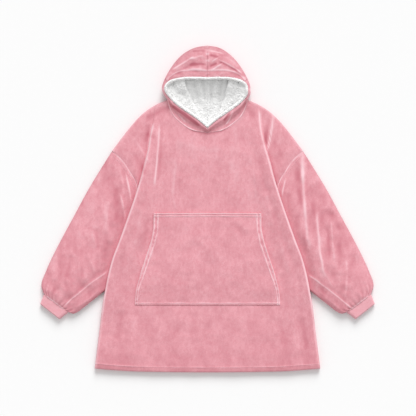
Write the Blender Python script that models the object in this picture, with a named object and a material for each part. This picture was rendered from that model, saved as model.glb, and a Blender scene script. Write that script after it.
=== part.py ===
"""Oversize fleece hoodie with a pile-lined hood and a kangaroo pocket, laid out flat.

Metres, +Z up. The garment lies on its back on z = 0, hood towards +Y, hem towards -Y, front up.
The wearer's left is +X. Every piece is a wall of cloth between an outer and an inner grid of points.
"""
import bpy
import bmesh
import numpy as np
from collections import namedtuple

CLOTH = 0.007            # fleece face with its pile lining
SEAM_GAP = 0.0003        # between touching pieces
SEAM_ROOM = 0.0013       # along curved seams, so that straight chords stay clear
CUFF_CLOTH = 0.0055
LINING_CLOTH = 0.006
POCKET_CLOTH = 0.006
POCKET_EDGE_DROP = 0.002
POCKET_SIDE_HEM = 0.0015
POCKET_TOP_HEM = 0.001

# Body: half-widths and heights at levels from the shoulder to the hem
BodyLevel = namedtuple("BodyLevel", "y fold pocket rim_top rim_under centre_top")
BODY = [
    BodyLevel(0.400, 0.160, 0.098, 0.0165, 0.0080, 0.0160),
    BodyLevel(0.329, 0.173, 0.112, 0.0175, 0.0080, 0.0165),
    BodyLevel(0.269, 0.179, 0.124, 0.0215, 0.0085, 0.0175),
    BodyLevel(0.206, 0.193, 0.137, 0.0260, 0.0100, 0.0190),
    BodyLevel(0.156, 0.208, 0.147, 0.0290, 0.0140, 0.0190),
    BodyLevel(0.110, 0.220, 0.156, 0.0310, 0.0172, 0.0185),
    BodyLevel(0.037, 0.242, 0.168, 0.0315, 0.0173, 0.0180),
    BodyLevel(-0.018, 0.261, 0.178, 0.0315, 0.0173, 0.0180),
    BodyLevel(-0.063, 0.277, 0.180, 0.0315, 0.0173, 0.0185),
    BodyLevel(-0.110, 0.294, 0.189, 0.0315, 0.0173, 0.0190),
    BodyLevel(-0.159, 0.313, 0.205, 0.0315, 0.0173, 0.0190),
    BodyLevel(-0.218, 0.329, 0.224, 0.0310, 0.0173, 0.0185),
    BodyLevel(-0.285, 0.342, 0.239, 0.0300, 0.0173, 0.0180),
    BodyLevel(-0.305, 0.346, 0.240, 0.0260, 0.0120, 0.0175),
    BodyLevel(-0.330, 0.3495, 0.240, 0.0220, 0.0080, 0.0175),
    BodyLevel(-0.395, 0.357, 0.240, 0.0190, 0.0078, 0.0170),
    BodyLevel(-0.475, 0.367, 0.242, 0.0180, 0.0078, 0.0165),
    BodyLevel(-0.530, 0.374, 0.244, 0.0170, 0.0078, 0.0165),
]
CHEST_LEVEL = 0.070      # below it the body's fold is its edge, over the sleeve
POCKET_TOP = -0.018
POCKET_BOTTOM = -0.316
HEM_CORNER = -0.529
HEM_DROP = 0.0126        # the hem hangs this much lower at the centre
HEM_DEPTH = 0.017
HEM_RISE = 0.0018
FRONT_LIFT = 0.0008      # between the back and the front where they lie flat
TUCK = 0.085             # the sleeve reaches this far under the body's fold
TUCK_SLOPE = 0.035
PUFF = 0.060             # the body is thicker this near its fold
PUFF_SLOPE = 0.050
CAP_LIFT = 0.0025        # the shoulder cap's underside above the back
CAP_CROWN = 0.0025
FOLD_EDGE = 0.0030       # height of the fold's outer edge above its underside
EDGE_INSET = 0.0012
EDGE_THIN = 0.7          # a cut edge is this much as thick as the cloth

# Neck seam and shoulder line, from the centre out to the top of the armhole
OutlinePoint = namedtuple("OutlinePoint", "x y")
NECK = [
    OutlinePoint(0.0, 0.2513), OutlinePoint(0.030, 0.2550), OutlinePoint(0.0645, 0.2680),
    OutlinePoint(0.103, 0.2980), OutlinePoint(0.1215, 0.3260), OutlinePoint(0.1335, 0.3615),
]
SHOULDER = [
    OutlinePoint(0.1335, 0.3615), OutlinePoint(0.176, 0.3420), OutlinePoint(0.206, 0.3220),
    OutlinePoint(0.247, 0.2820), OutlinePoint(0.279, 0.2420), OutlinePoint(0.316, 0.1930),
    OutlinePoint(0.350, 0.1500),
]
# Armhole seam: it shows down to the chest level and runs on under the body's fold
ARMHOLE = [
    OutlinePoint(0.500, 0.400), OutlinePoint(0.316, 0.193), OutlinePoint(0.286, 0.163),
    OutlinePoint(0.256, 0.120), OutlinePoint(0.242, 0.095), OutlinePoint(0.2365, 0.070),
    OutlinePoint(0.2360, 0.030),
    OutlinePoint(0.247, -0.050), OutlinePoint(0.264, -0.130), OutlinePoint(0.285, -0.200),
    OutlinePoint(0.300, -0.250),
]
UNDERARM = -0.250

# Sleeve: its two edges from the armhole to the cuff, and the rise of the cloth between them
SleeveSection = namedtuple("SleeveSection", "along outer_x outer_y inner_x inner_y lift")
SLEEVE = [
    SleeveSection(0.00, 0.316, 0.193, 0.300, -0.250, 0.000),
    SleeveSection(0.12, 0.353, 0.134, 0.322, -0.262, 0.005),
    SleeveSection(0.27, 0.396, 0.063, 0.343, -0.274, 0.009),
    SleeveSection(0.42, 0.436, -0.011, 0.364, -0.290, 0.011),
    SleeveSection(0.57, 0.474, -0.081, 0.388, -0.309, 0.012),
    SleeveSection(0.72, 0.508, -0.146, 0.411, -0.327, 0.012),
    SleeveSection(0.85, 0.535, -0.205, 0.429, -0.3405, 0.011),
    SleeveSection(0.95, 0.551, -0.254, 0.446, -0.3470, 0.009),
    SleeveSection(1.00, 0.5435, -0.2805, 0.4620, -0.3445, 0.005),
]
SLEEVE_FLAT = 0.0165     # two layers of cloth, lightly pressed
EDGE_ROUND = 0.010
SLEEVE_CLEAR = 0.002     # the sleeve rises this far outside the body's fold
SLEEVE_SLOPE = 0.035
GATHER = 0.0014
CUFF = [
    SleeveSection(0.00, 0.5420, -0.2827, 0.4650, -0.3437, 0.001),
    SleeveSection(0.10, 0.5433, -0.2858, 0.4674, -0.3459, 0.002),
    SleeveSection(0.90, 0.5535, -0.3117, 0.4875, -0.3637, 0.002),
    SleeveSection(1.00, 0.5550, -0.3150, 0.4900, -0.3660, 0.000),
]
CUFF_FLAT = 0.0140

# Hood: a row from the face opening's edge to the outline, and on to the centre line of the back
HoodRow = namedtuple("HoodRow", "edge_x edge_y out_x out_y back_y lining_y side_top crown round reach")
HOOD = [
    HoodRow(0.0000, 0.4350, 0.0000, 0.5410, 0.520, 0.452, 0.040, 0.010, 0.034, 0.034),
    HoodRow(0.0300, 0.4365, 0.0370, 0.5350, 0.505, 0.444, 0.040, 0.010, 0.034, 0.034),
    HoodRow(0.0600, 0.4365, 0.0700, 0.5180, 0.488, 0.436, 0.040, 0.009, 0.030, 0.032),
    HoodRow(0.0900, 0.4335, 0.0980, 0.4920, 0.468, 0.426, 0.042, 0.006, 0.026, 0.024),
    HoodRow(0.1160, 0.4270, 0.1230, 0.4570, 0.445, 0.416, 0.044, 0.003, 0.020, 0.006),
    HoodRow(0.1325, 0.4155, 0.1400, 0.4240, 0.422, 0.404, 0.044, 0.000, 0.016, 0.000),
    HoodRow(0.1385, 0.4010, 0.1462, 0.4010, 0.400, 0.390, 0.044, 0.000, 0.015, 0.000),
    HoodRow(0.1370, 0.3850, 0.1440, 0.3810, 0.375, 0.375, 0.042, 0.000, 0.014, 0.000),
    HoodRow(0.1280, 0.3700, 0.1335, 0.3630, 0.345, 0.360, 0.036, 0.000, 0.014, 0.000),
    HoodRow(0.1110, 0.3515, 0.1215, 0.3280, 0.345, 0.345, 0.0185, 0.0140, 0.030, 0.000),
    HoodRow(0.0930, 0.3368, 0.1030, 0.3000, 0.345, 0.332, 0.0185, 0.0130, 0.030, 0.000),
    HoodRow(0.0576, 0.3124, 0.0645, 0.2700, 0.345, 0.318, 0.0185, 0.0125, 0.030, 0.000),
    HoodRow(0.0270, 0.2927, 0.0300, 0.2570, 0.345, 0.304, 0.0185, 0.0115, 0.030, 0.000),
    HoodRow(0.0000, 0.2706, 0.0000, 0.2533, 0.345, 0.292, 0.0185, 0.0110, 0.030, 0.000),
]
NECK_ROW = 8             # from this row on the hood's edge is sewn to the front
HOOD_LEAN = 0.0045       # the hood's sides lean this far to the wearer's right
ROUND_SHARE = 0.45       # how much of a wide section is its rounded outline
BACK_ROUND = 0.25        # how much of the back's run turns under
BACK_FLATTEN = 0.8
CROWN_FALL = 0.4         # how much the crown falls again towards the opening
HOOD_FOLD_DEPTH = 0.6    # how much of a fold shows on the inside

# Lining: the places of its rolled rim and its inside, from the hood's opening inwards. Each is a distance
# inward from the hood's edge, its lower edge or the crown's far end, and a height above a level
LiningKnot = namedtuple("LiningKnot", "place inward per_reach level rise")
LINING_BACK = [
    LiningKnot("edge", 0.0006, 0.0, "rim", -0.0010),
    LiningKnot("half", 0.0006, 0.0, "half", 0.0),
    LiningKnot("low", 0.0006, 0.0, "under", 0.0),
    LiningKnot("low", 0.0006, -0.5, "under", 0.0),
    LiningKnot("turn", 0.0006, 0.0, "under", -0.0020),
    LiningKnot("turn", 0.0006, 0.0, "floor", 0.0040),
    LiningKnot("turn", 0.0046, 0.0, "floor", 0.0),
]
LINING_FACE = [
    LiningKnot("edge", 0.0030, 0.0, "rim", 0.0020),
    LiningKnot("edge", 0.0075, 0.0, "rim", 0.0022),
    LiningKnot("edge", 0.0115, 0.0, "rim", -0.0040),
    LiningKnot("low", 0.0070, -0.35, "under", -LINING_CLOTH),
    LiningKnot("turn", 0.0075, 0.0, "under", -LINING_CLOTH - 0.0015),
    LiningKnot("turn", 0.0075, 0.0, "floor", LINING_CLOTH + 0.0025),
    LiningKnot("turn", 0.0110, 0.0, "floor", LINING_CLOTH),
]
LINING_REST = 0.0008     # between the crown's underside and the lining
FLOOR_SHARES = (0.3, 0.6, 1.0)

# Soft folds: a line with a sideways bend, a rise (or a fall) and a width
Fold = namedtuple("Fold", "x1 y1 x2 y2 bend rise width")
FRONT_FOLDS = [
    Fold(-0.161, 0.295, -0.178, 0.060, 0.004, 0.0045, 0.016),
    Fold(0.213, 0.310, 0.190, 0.185, 0.000, 0.0045, 0.014),
    Fold(-0.140, 0.270, -0.150, 0.080, 0.000, -0.0015, 0.014),
    Fold(-0.120, 0.230, 0.110, 0.200, -0.018, 0.0020, 0.020),
    Fold(0.060, 0.170, 0.150, 0.020, 0.010, 0.0025, 0.026),
    Fold(-0.215, 0.020, -0.262, -0.180, 0.004, 0.0020, 0.016),
    Fold(0.225, -0.020, 0.270, -0.220, -0.004, 0.0020, 0.016),
    Fold(-0.240, -0.340, -0.265, -0.500, 0.004, 0.0030, 0.024),
    Fold(-0.080, -0.350, -0.070, -0.500, 0.000, 0.0022, 0.030),
    Fold(0.120, -0.345, 0.130, -0.505, 0.000, 0.0025, 0.028),
    Fold(0.280, -0.330, 0.300, -0.500, 0.000, 0.0028, 0.022),
]
SLEEVE_FOLDS = {
    +1: [
        Fold(0.318, 0.180, 0.338, -0.130, -0.006, 0.0070, 0.014),
        Fold(0.362, 0.020, 0.386, -0.215, -0.005, 0.0050, 0.013),
        Fold(0.405, -0.040, 0.420, -0.170, 0.000, 0.0035, 0.012),
        Fold(0.462, -0.160, 0.459, -0.285, 0.000, 0.0035, 0.012),
        Fold(0.344, 0.060, 0.362, -0.120, 0.000, -0.0040, 0.012),
        Fold(0.474, -0.330, 0.318, -0.208, 0.000, 0.0060, 0.011),
        Fold(0.463, -0.312, 0.322, -0.196, 0.000, -0.0050, 0.009),
    ],
    -1: [
        Fold(-0.286, 0.145, -0.270, -0.050, 0.005, 0.0060, 0.012),
        Fold(-0.304, 0.110, -0.303, -0.015, 0.000, -0.0040, 0.012),
        Fold(-0.330, 0.120, -0.352, -0.030, 0.000, 0.0040, 0.014),
        Fold(-0.382, -0.070, -0.342, -0.130, 0.000, 0.0040, 0.013),
        Fold(-0.430, -0.090, -0.425, -0.210, 0.004, 0.0035, 0.014),
        Fold(-0.476, -0.323, -0.318, -0.201, 0.000, 0.0060, 0.011),
        Fold(-0.466, -0.306, -0.320, -0.190, 0.000, -0.0050, 0.009),
    ],
}
HOOD_FOLDS = [
    Fold(-0.118, 0.455, -0.038, 0.506, 0.000, 0.0045, 0.009),
    Fold(-0.058, 0.474, -0.002, 0.478, 0.000, -0.0030, 0.009),
    Fold(0.006, 0.526, 0.060, 0.508, 0.000, 0.0030, 0.008),
    Fold(0.034, 0.492, 0.122, 0.446, 0.004, 0.0045, 0.009),
    Fold(0.012, 0.458, 0.062, 0.482, 0.000, 0.0030, 0.008),
]
LINING_FOLDS = [
    Fold(-0.076, 0.440, -0.030, 0.315, -0.004, 0.0060, 0.010),
    Fold(0.080, 0.440, 0.024, 0.295, 0.004, 0.0060, 0.010),
    Fold(-0.035, 0.450, -0.012, 0.340, 0.000, 0.0035, 0.010),
    Fold(0.040, 0.450, 0.016, 0.340, 0.000, 0.0035, 0.010),
]


def curve(places, values):
    """A smooth curve through a few values, with no overshoot, as a function of place."""
    order = np.argsort(places)
    place = np.array(places, dtype=float)[order]
    value = np.array(values, dtype=float)[order]
    secant = np.diff(value) / np.diff(place)
    slope = np.gradient(value, place)
    limit = 3 * np.minimum(abs(secant[:-1]), abs(secant[1:])) * (secant[:-1] * secant[1:] > 0)
    slope[1:-1] = np.clip(slope[1:-1], -limit, limit)

    def read(where):
        where = np.clip(where, place[0], place[-1])
        i = np.clip(np.searchsorted(place, where, side="right") - 1, 0, len(place) - 2)
        step = place[i + 1] - place[i]
        t = (where - place[i]) / step
        start = (1 + 2 * t) * (1 - t) ** 2 * value[i] + t * (1 - t) ** 2 * step * slope[i]
        end = t * t * (3 - 2 * t) * value[i + 1] - t * t * (1 - t) * step * slope[i + 1]
        return start + end
    return read


def soft(t):
    """A smooth step from 0 to 1."""
    t = np.clip(t, 0.0, 1.0)
    return t * t * (3 - 2 * t)


def fold_rise(folds, x, y):
    """The height that soft folds add at points in plan."""
    total = np.zeros(np.shape(x))
    for fold in folds:
        run_x = fold.x2 - fold.x1
        run_y = fold.y2 - fold.y1
        run = np.hypot(run_x, run_y)
        t = ((x - fold.x1) * run_x + (y - fold.y1) * run_y) / run ** 2
        aside = ((y - fold.y1) * run_x - (x - fold.x1) * run_y) / run
        aside = aside - 4 * fold.bend * t * (1 - t)
        ends = soft(t / 0.2) * soft((1 - t) / 0.2)
        total = total + fold.rise * ends * np.exp(-(aside / fold.width) ** 2)
    return total


BODY_Y = [level.y for level in BODY]
fold_half_width = curve(BODY_Y, [level.fold for level in BODY])
pocket_half_width = curve(BODY_Y, [level.pocket for level in BODY])
rim_top_at = curve(BODY_Y, [level.rim_top for level in BODY])
rim_under_at = curve(BODY_Y, [level.rim_under for level in BODY])
centre_top_at = curve(BODY_Y, [level.centre_top for level in BODY])
neck_y = curve([point.x for point in NECK], [point.y for point in NECK])
shoulder_y = curve([point.x for point in SHOULDER], [point.y for point in SHOULDER])
armhole_half_width = curve([point.y for point in ARMHOLE], [point.x for point in ARMHOLE])


def material(name, colour, roughness):
    """A plain cloth material."""
    made = bpy.data.materials.new(name)
    made.use_nodes = True
    shader = made.node_tree.nodes["Principled BSDF"]
    shader.inputs["Base Color"].default_value = (*colour, 1.0)
    shader.inputs["Roughness"].default_value = roughness
    shader.inputs["Metallic"].default_value = 0.0
    return made


def cloth_wall(name, outer, inner, finish, collection, around=False, cells=None):
    """One closed solid between an outer and an inner grid, left open where cells is False."""
    rows, columns = outer.shape[:2]
    across = columns if around else columns - 1
    faces = []
    edge_use = {}
    inside = rows * columns
    for i in range(rows - 1):
        for j in range(across):
            if cells is not None and not cells[i][j]:
                continue
            right = (j + 1) % columns
            a, b = i * columns + j, i * columns + right
            c, d = (i + 1) * columns + right, (i + 1) * columns + j
            for triangle in ((a, b, c), (a, c, d)):
                faces.append(triangle)
                faces.append(tuple(inside + corner for corner in reversed(triangle)))
            for edge in ((a, b), (b, c), (c, d), (d, a)):
                key = tuple(sorted(edge))
                edge_use[key] = edge_use.get(key, 0) + 1
    for (a, b), uses in edge_use.items():
        if uses == 1:
            faces.append((a, b, inside + b))
            faces.append((a, inside + b, inside + a))
    points = np.vstack([outer.reshape(-1, 3), inner.reshape(-1, 3)])
    mesh = bpy.data.meshes.new(name)
    mesh.from_pydata([tuple(point) for point in points], [], faces)
    solid = bmesh.new()
    solid.from_mesh(mesh)
    loose = [vertex for vertex in solid.verts if not vertex.link_faces]
    bmesh.ops.delete(solid, geom=loose, context="VERTS")
    bmesh.ops.recalc_face_normals(solid, faces=solid.faces)
    solid.to_mesh(mesh)
    solid.free()
    mesh.shade_smooth()
    mesh.materials.append(finish)
    piece = bpy.data.objects.new(name, mesh)
    collection.objects.link(piece)
    return piece


def body_x(column, y):
    """Half-width of a body column: 0 centre, 1 pocket side, 2 fold, 3 armhole seam."""
    pocket = pocket_half_width(y)
    fold = fold_half_width(y)
    seam = armhole_half_width(y) - SEAM_ROOM
    if column <= 1:
        return column * pocket
    if column <= 2:
        return pocket + (column - 1) * (fold - pocket)
    return fold + (column - 2) * (seam - fold)


def top_outline(x):
    """Height in plan of the neck seam or the shoulder line at a half-width."""
    return neck_y(x) if x < NECK[-1].x else shoulder_y(x)


def column_top(column):
    """Where a body column meets the neck seam or the shoulder line."""
    low, high = CHEST_LEVEL, 0.40
    for _ in range(40):
        middle = (low + high) / 2
        if top_outline(body_x(column, middle)) > middle:
            low = middle
        else:
            high = middle
    return low


FRONT_COLUMNS = [0, 0.25, 0.5, 0.75, 0.92, 1, 1.2, 1.4, 1.6, 1.76, 1.9, 1.97]
FOLD_DROP = [1.99, 2]
CAP_COLUMNS = [2.25, 2.6, 2.9, 3]
YOKE_STEPS = [0, 0.04, 0.2, 0.38, 0.56, 0.74, 0.88, 1]
BODY_LEVELS = [0.061, 0.024, POCKET_TOP, POCKET_TOP - 0.014, -0.075, -0.115, -0.155, -0.195, -0.232,
               -0.266, -0.290, POCKET_BOTTOM, -0.350, -0.390, -0.430, -0.470]
HEM_STEPS = [HEM_DEPTH + 0.003, HEM_DEPTH, 0.008, 0.002, 0]


def level_sag(level):
    """How much higher a level runs at the body's edge than at its centre."""
    return np.interp(level, [HEM_CORNER, -0.35, POCKET_TOP, CHEST_LEVEL], [HEM_DROP, 0.003, -0.005, 0])


def front_columns_and_rows():
    """Signed columns across the front, and each one's levels from the neck or shoulder to the hem."""
    half = FRONT_COLUMNS + FOLD_DROP + CAP_COLUMNS
    columns = [-column for column in reversed(half)] + half[1:]
    plan = []
    for column in columns:
        size = abs(column)
        top = column_top(size)
        levels = [top + (CHEST_LEVEL - top) * step for step in YOKE_STEPS]
        run = min(size, 2) / 2
        for level in BODY_LEVELS:
            levels.append(level - level_sag(level) * (1 - run ** 2))
        hem = HEM_CORNER - HEM_DROP * (1 - run ** 2)
        levels.extend(hem + step for step in HEM_STEPS)
        plan.append([(np.sign(column) * body_x(size, y), y) for y in levels])
    return columns, np.array(plan).transpose(1, 0, 2)


def front_heights(x, y, hem_distance):
    """Top and underside of the front panel at a point in plan."""
    from_fold = fold_half_width(y) - abs(x)
    over_sleeve = soft((TUCK - from_fold) / TUCK_SLOPE)
    flat_under = CLOTH + FRONT_LIFT
    under = flat_under + (rim_under_at(y) - flat_under) * over_sleeve
    near_fold = soft((PUFF - from_fold) / PUFF_SLOPE)
    top_here = centre_top_at(y) + (rim_top_at(y) - centre_top_at(y)) * near_fold
    folds = float(fold_rise(FRONT_FOLDS, x, y))
    top = max(top_here, under + CLOTH) + folds
    under = under + 0.5 * max(folds, 0.0)
    if hem_distance < HEM_DEPTH + 0.001:
        top += HEM_RISE
    return top, under


def front_grids():
    """Outer and inner points of the front panel, and which cells are cloth."""
    columns, plan = front_columns_and_rows()
    rows = plan.shape[0]
    last_yoke = len(YOKE_STEPS) - 1
    outer = np.zeros((rows, len(columns), 3))
    inner = np.zeros((rows, len(columns), 3))
    for i in range(rows):
        hem_distance = HEM_STEPS[i - rows] if i >= rows - len(HEM_STEPS) else 1.0
        for j, column in enumerate(columns):
            x, y = plan[i, j]
            top, under = front_heights(x, y, hem_distance)
            size = abs(column)
            side = np.sign(x) if x else 1.0
            cap_top, cap_under = SLEEVE_FLAT - SEAM_GAP, CLOTH + CAP_LIFT
            if i > last_yoke:
                cap_top, cap_under = under + FOLD_EDGE, under
            if size == FOLD_DROP[0]:
                x = side * (abs(x) - 0.0005)
                top = 0.55 * top + 0.45 * cap_top
                under = 0.5 * (under + cap_under)
            elif size == FOLD_DROP[1]:
                top, under = cap_top, cap_under
            elif size > 2:
                crown = CAP_CROWN * np.sin(np.pi * (size - 2)) * soft(i / 3)
                top, under = cap_top + crown, cap_under
            if i == 0 or i == rows - 1:
                top = under + EDGE_THIN * (top - under)
            outer[i, j] = (x, y, top)
            inset = EDGE_INSET if size >= 2 and i >= last_yoke else 0.0
            inner[i, j] = (x - side * inset, y, under)
    cap = len(CAP_COLUMNS)
    cells = [[i < last_yoke or cap <= j < len(columns) - 1 - cap for j in range(len(columns) - 1)]
             for i in range(rows - 1)]
    return columns, outer, inner, cells


def pocket_grids(columns, front_outer):
    """The pocket: the front's own points between its corners, moved out."""
    first = len(YOKE_STEPS) + BODY_LEVELS.index(POCKET_TOP)
    last = len(YOKE_STEPS) + BODY_LEVELS.index(POCKET_BOTTOM)
    left, right = columns.index(-1), columns.index(1)
    base = front_outer[first:last + 1, left:right + 1].copy()
    under = base + np.array([0, 0, SEAM_GAP])
    top = under + np.array([0, 0, POCKET_CLOTH])
    top[0, :, 2] -= POCKET_EDGE_DROP
    top[-1, :, 2] -= POCKET_EDGE_DROP
    top[:, 0, 2] -= POCKET_EDGE_DROP
    top[:, -1, 2] -= POCKET_EDGE_DROP
    top[1:-1, 1, 2] += POCKET_SIDE_HEM
    top[1:-1, -2, 2] += POCKET_SIDE_HEM
    top[1, 2:-2, 2] += POCKET_TOP_HEM
    return top, under


BACK_LEVELS = [0.193, 0.165, 0.130, 0.100, 0.075, 0.050, 0.010, -0.045, -0.095, -0.150, -0.200, UNDERARM,
               -0.276, -0.305, -0.350, -0.395, -0.475, HEM_CORNER]
BACK_COLUMNS = [0, 0.25, 0.5, 0.75, 1]


def back_half_width(y):
    """The back panel's half-width below the shoulder point."""
    if y >= UNDERARM:
        return armhole_half_width(y) - SEAM_ROOM
    if y > -0.300:
        return np.interp(y, [-0.300, -0.276, UNDERARM], [0.344, 0.3400, 0.300]) - SEAM_ROOM
    return fold_half_width(y) - 0.001


def back_grids():
    """The back panel, flat on the surface, from the back neck to the hem."""
    half = BACK_COLUMNS
    columns = [-column for column in reversed(half)] + half[1:]
    yoke = [0, 0.5]
    neck_dip = HOOD[NECK_ROW].back_y
    rows = []
    for step in yoke:
        row = []
        for column in columns:
            shoulder = 0.315 * abs(column)
            rise = HOOD[NECK_ROW].out_y - neck_dip
            x_neck = min(shoulder, NECK[-1].x)
            neck = neck_dip + rise * x_neck / NECK[-1].x - SEAM_ROOM
            top = neck if shoulder <= NECK[-1].x else float(shoulder_y(shoulder)) - 0.0005
            row.append((np.sign(column) * shoulder, top + (BACK_LEVELS[0] - top) * step))
        rows.append(row)
    for level in BACK_LEVELS:
        half_width = back_half_width(level)
        drop = HEM_DROP * soft((-0.35 - level) / (-0.35 - HEM_CORNER))
        rows.append([(column * half_width, level - drop * (1 - column ** 2)) for column in columns])
    plan = np.array(rows, dtype=float)
    top = np.dstack([plan, np.full(plan.shape[:2], CLOTH)])
    under = np.dstack([plan, np.zeros(plan.shape[:2])])
    return top, under


def ring_steps(length, middle_count):
    """Fractions across a flattened tube, close together at its round edges."""
    edge = [0, 0.16, 0.5, 1.0]
    near = [EDGE_ROUND * step / length for step in edge]
    middle = np.linspace(near[-1], 1 - near[-1], middle_count + 2)[1:-1]
    return np.array(near + list(middle) + [1 - step for step in reversed(near)])


def armhole_bow(across):
    """How far the armhole curves inwards of the straight line between its ends."""
    first = SLEEVE[0]
    y = first.outer_y + (first.inner_y - first.outer_y) * across
    straight = first.outer_x + (first.inner_x - first.outer_x) * across
    return armhole_half_width(y) - straight


def flat_tube(table, sections, middle_count, flat, cloth, side, folds, bowed=False, gathered=False):
    """Outer and inner rings of a flattened tube, from its section table."""
    along = [row.along for row in table]
    outer_x = curve(along, [row.outer_x for row in table])
    outer_y = curve(along, [row.outer_y for row in table])
    inner_x = curve(along, [row.inner_x for row in table])
    inner_y = curve(along, [row.inner_y for row in table])
    lift_at = curve(along, [row.lift for row in table])
    grids = {0.0: [], cloth: []}
    for place in sections:
        start = np.array([outer_x(place), outer_y(place)])
        end = np.array([inner_x(place), inner_y(place)])
        length = np.hypot(*(end - start))
        steps = ring_steps(length, middle_count)
        low_steps = steps[[-2, -3, -4, len(steps) // 2, 3, 2, 1]]
        for inset, rings in grids.items():
            ring = []
            half = flat / 2 - inset
            for layer, fractions in ((1, steps), (-1, low_steps)):
                for k, fraction in enumerate(fractions):
                    shrunk = inset / length + fraction * (1 - 2 * inset / length)
                    point = start + (end - start) * shrunk
                    if bowed:
                        fade = (1 - soft(place / 0.9))
                        point[0] += fade * float(armhole_bow(shrunk))
                    distance = min(fraction, 1 - fraction) * length
                    roundness = np.sqrt(1 - (1 - min(distance / EDGE_ROUND, 1)) ** 2)
                    z = flat / 2 + layer * half * roundness
                    if layer > 0:
                        from_body = point[0] - float(fold_half_width(point[1]))
                        beyond = soft((from_body - SLEEVE_CLEAR) / SLEEVE_SLOPE)
                        crown = np.sin(np.pi * fraction) ** 0.7
                        rise = float(lift_at(place)) * crown
                        rise += roundness * float(fold_rise(folds, side * point[0], point[1]))
                        if gathered and inset == 0 and 3 < k < len(fractions) - 4:
                            rise += GATHER * (-1) ** k * soft((place - 0.88) / 0.08)
                        rise = max(rise, -0.001)
                        z += rise * beyond * soft(place / 0.08)
                    ring.append((side * point[0], point[1], z))
            rings.append(ring)
    return np.array(grids[0.0]), np.array(grids[cloth])


SLEEVE_STEPS = [0, 0.03, 0.09, 0.16, 0.23, 0.30, 0.37, 0.44, 0.51, 0.58, 0.65, 0.72, 0.79, 0.86, 0.92,
                0.97, 1.0]
CUFF_STEPS = [0, 0.1, 0.5, 0.9, 1.0]


def hood_curves():
    """Smooth curves of every hood column against the row number."""
    rows = range(len(HOOD))
    return {name: curve(list(rows), [row._asdict()[name] for row in HOOD]) for name in HoodRow._fields}


def hood_section(read, row, step, inset):
    """A point of the outer hood: step runs 1 at the opening, 0 at the outline and to -1 at the back."""
    edge = np.array([read["edge_x"](row), read["edge_y"](row)])
    out = np.array([read["out_x"](row), read["out_y"](row)])
    width = np.hypot(*(edge - out))
    inward = (edge - out) / width
    top = float(read["side_top"](row))
    if row > NECK_ROW:
        s = width * max(step, 0)
        z = top + float(read["crown"](row)) * np.sin(0.5 * np.pi * max(step, 0)) - inset
        return out + inward * s, z
    middle = top / 2
    radius = float(read["round"](row))
    if step >= 0:
        share = width / radius
        last_angle = np.arccos(max(1 - share, 0.0))
        turn = min(step / ROUND_SHARE, 1.0) if share > 1 else step
        angle = turn * last_angle
        s = radius * (1 - np.cos(angle))
        if share > 1 and step > ROUND_SHARE:
            s = radius + (width - radius) * (step - ROUND_SHARE) / (1 - ROUND_SHARE)
        shrink = inset + (1 - inset / radius) * min(s, radius) + max(s - radius, 0.0)
        z = middle + (middle - inset) * np.sin(angle)
        crown = float(read["crown"](row)) * (1 - CROWN_FALL * step ** 2)
        z += crown * np.sin(0.5 * np.pi * min(s / radius, 1))
        return out + inward * shrink, z
    centre = np.array([0.0, float(read["back_y"](row))])
    depth = np.hypot(*(centre - out))
    turn = min(-step / BACK_ROUND, 1.0)
    s = radius * (1 - np.cos(turn * 0.5 * np.pi)) * BACK_FLATTEN
    shrink = inset + (1 - inset / radius) * s
    z = middle - (middle - inset) * np.sin(turn * 0.5 * np.pi)
    if -step > BACK_ROUND:
        share = (-step - BACK_ROUND) / (1 - BACK_ROUND)
        shrink = shrink + (depth - shrink) * share
    toward = (centre - out) / depth
    return out + toward * shrink, z


HOOD_STEPS = [1, 0.85, 0.7, 0.58, 0.46, 0.33, 0.2, 0.1, 0, -0.12, -0.25, -0.5, -0.75, -1]
HOOD_ROWS = [0, 0.5, 1, 1.5, 2, 2.5, 3, 3.5, 4, 4.5, 5, 5.5, 6, 6.5, 7, 7.5, 8, 9, 9.5, 10, 10.5, 11,
             11.5, 12, 12.5, 13]


def hood_lean(x, y):
    """How far a point of the hood leans to the wearer's right, more at the sides than at the centre."""
    return -HOOD_LEAN * soft(abs(x) / 0.09) * soft((y - 0.366) / 0.035)


def hood_grids(side):
    """One half of the outer hood: over the crown, round the outline and under to the centre seam."""
    read = hood_curves()
    grids = []
    for inset in (0.0, CLOTH):
        rows = []
        for row in HOOD_ROWS:
            line = []
            for step in HOOD_STEPS:
                (x, y), z = hood_section(read, row, step, inset)
                x = max(x, 0.0) * side
                if step > 0.05 and row <= NECK_ROW:
                    z += float(fold_rise(HOOD_FOLDS, x, y)) * (1.0 if inset == 0 else HOOD_FOLD_DEPTH)
                line.append((x + hood_lean(x, y) + side * SEAM_GAP / 2, y, z))
            rows.append(line)
        grids.append(np.array(rows))
    band = HOOD_STEPS.index(0)
    cells = [[HOOD_ROWS[i + 1] <= NECK_ROW or j < band for j in range(len(HOOD_STEPS) - 1)]
             for i in range(len(HOOD_ROWS) - 1)]
    return grids[0], grids[1], cells


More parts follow.
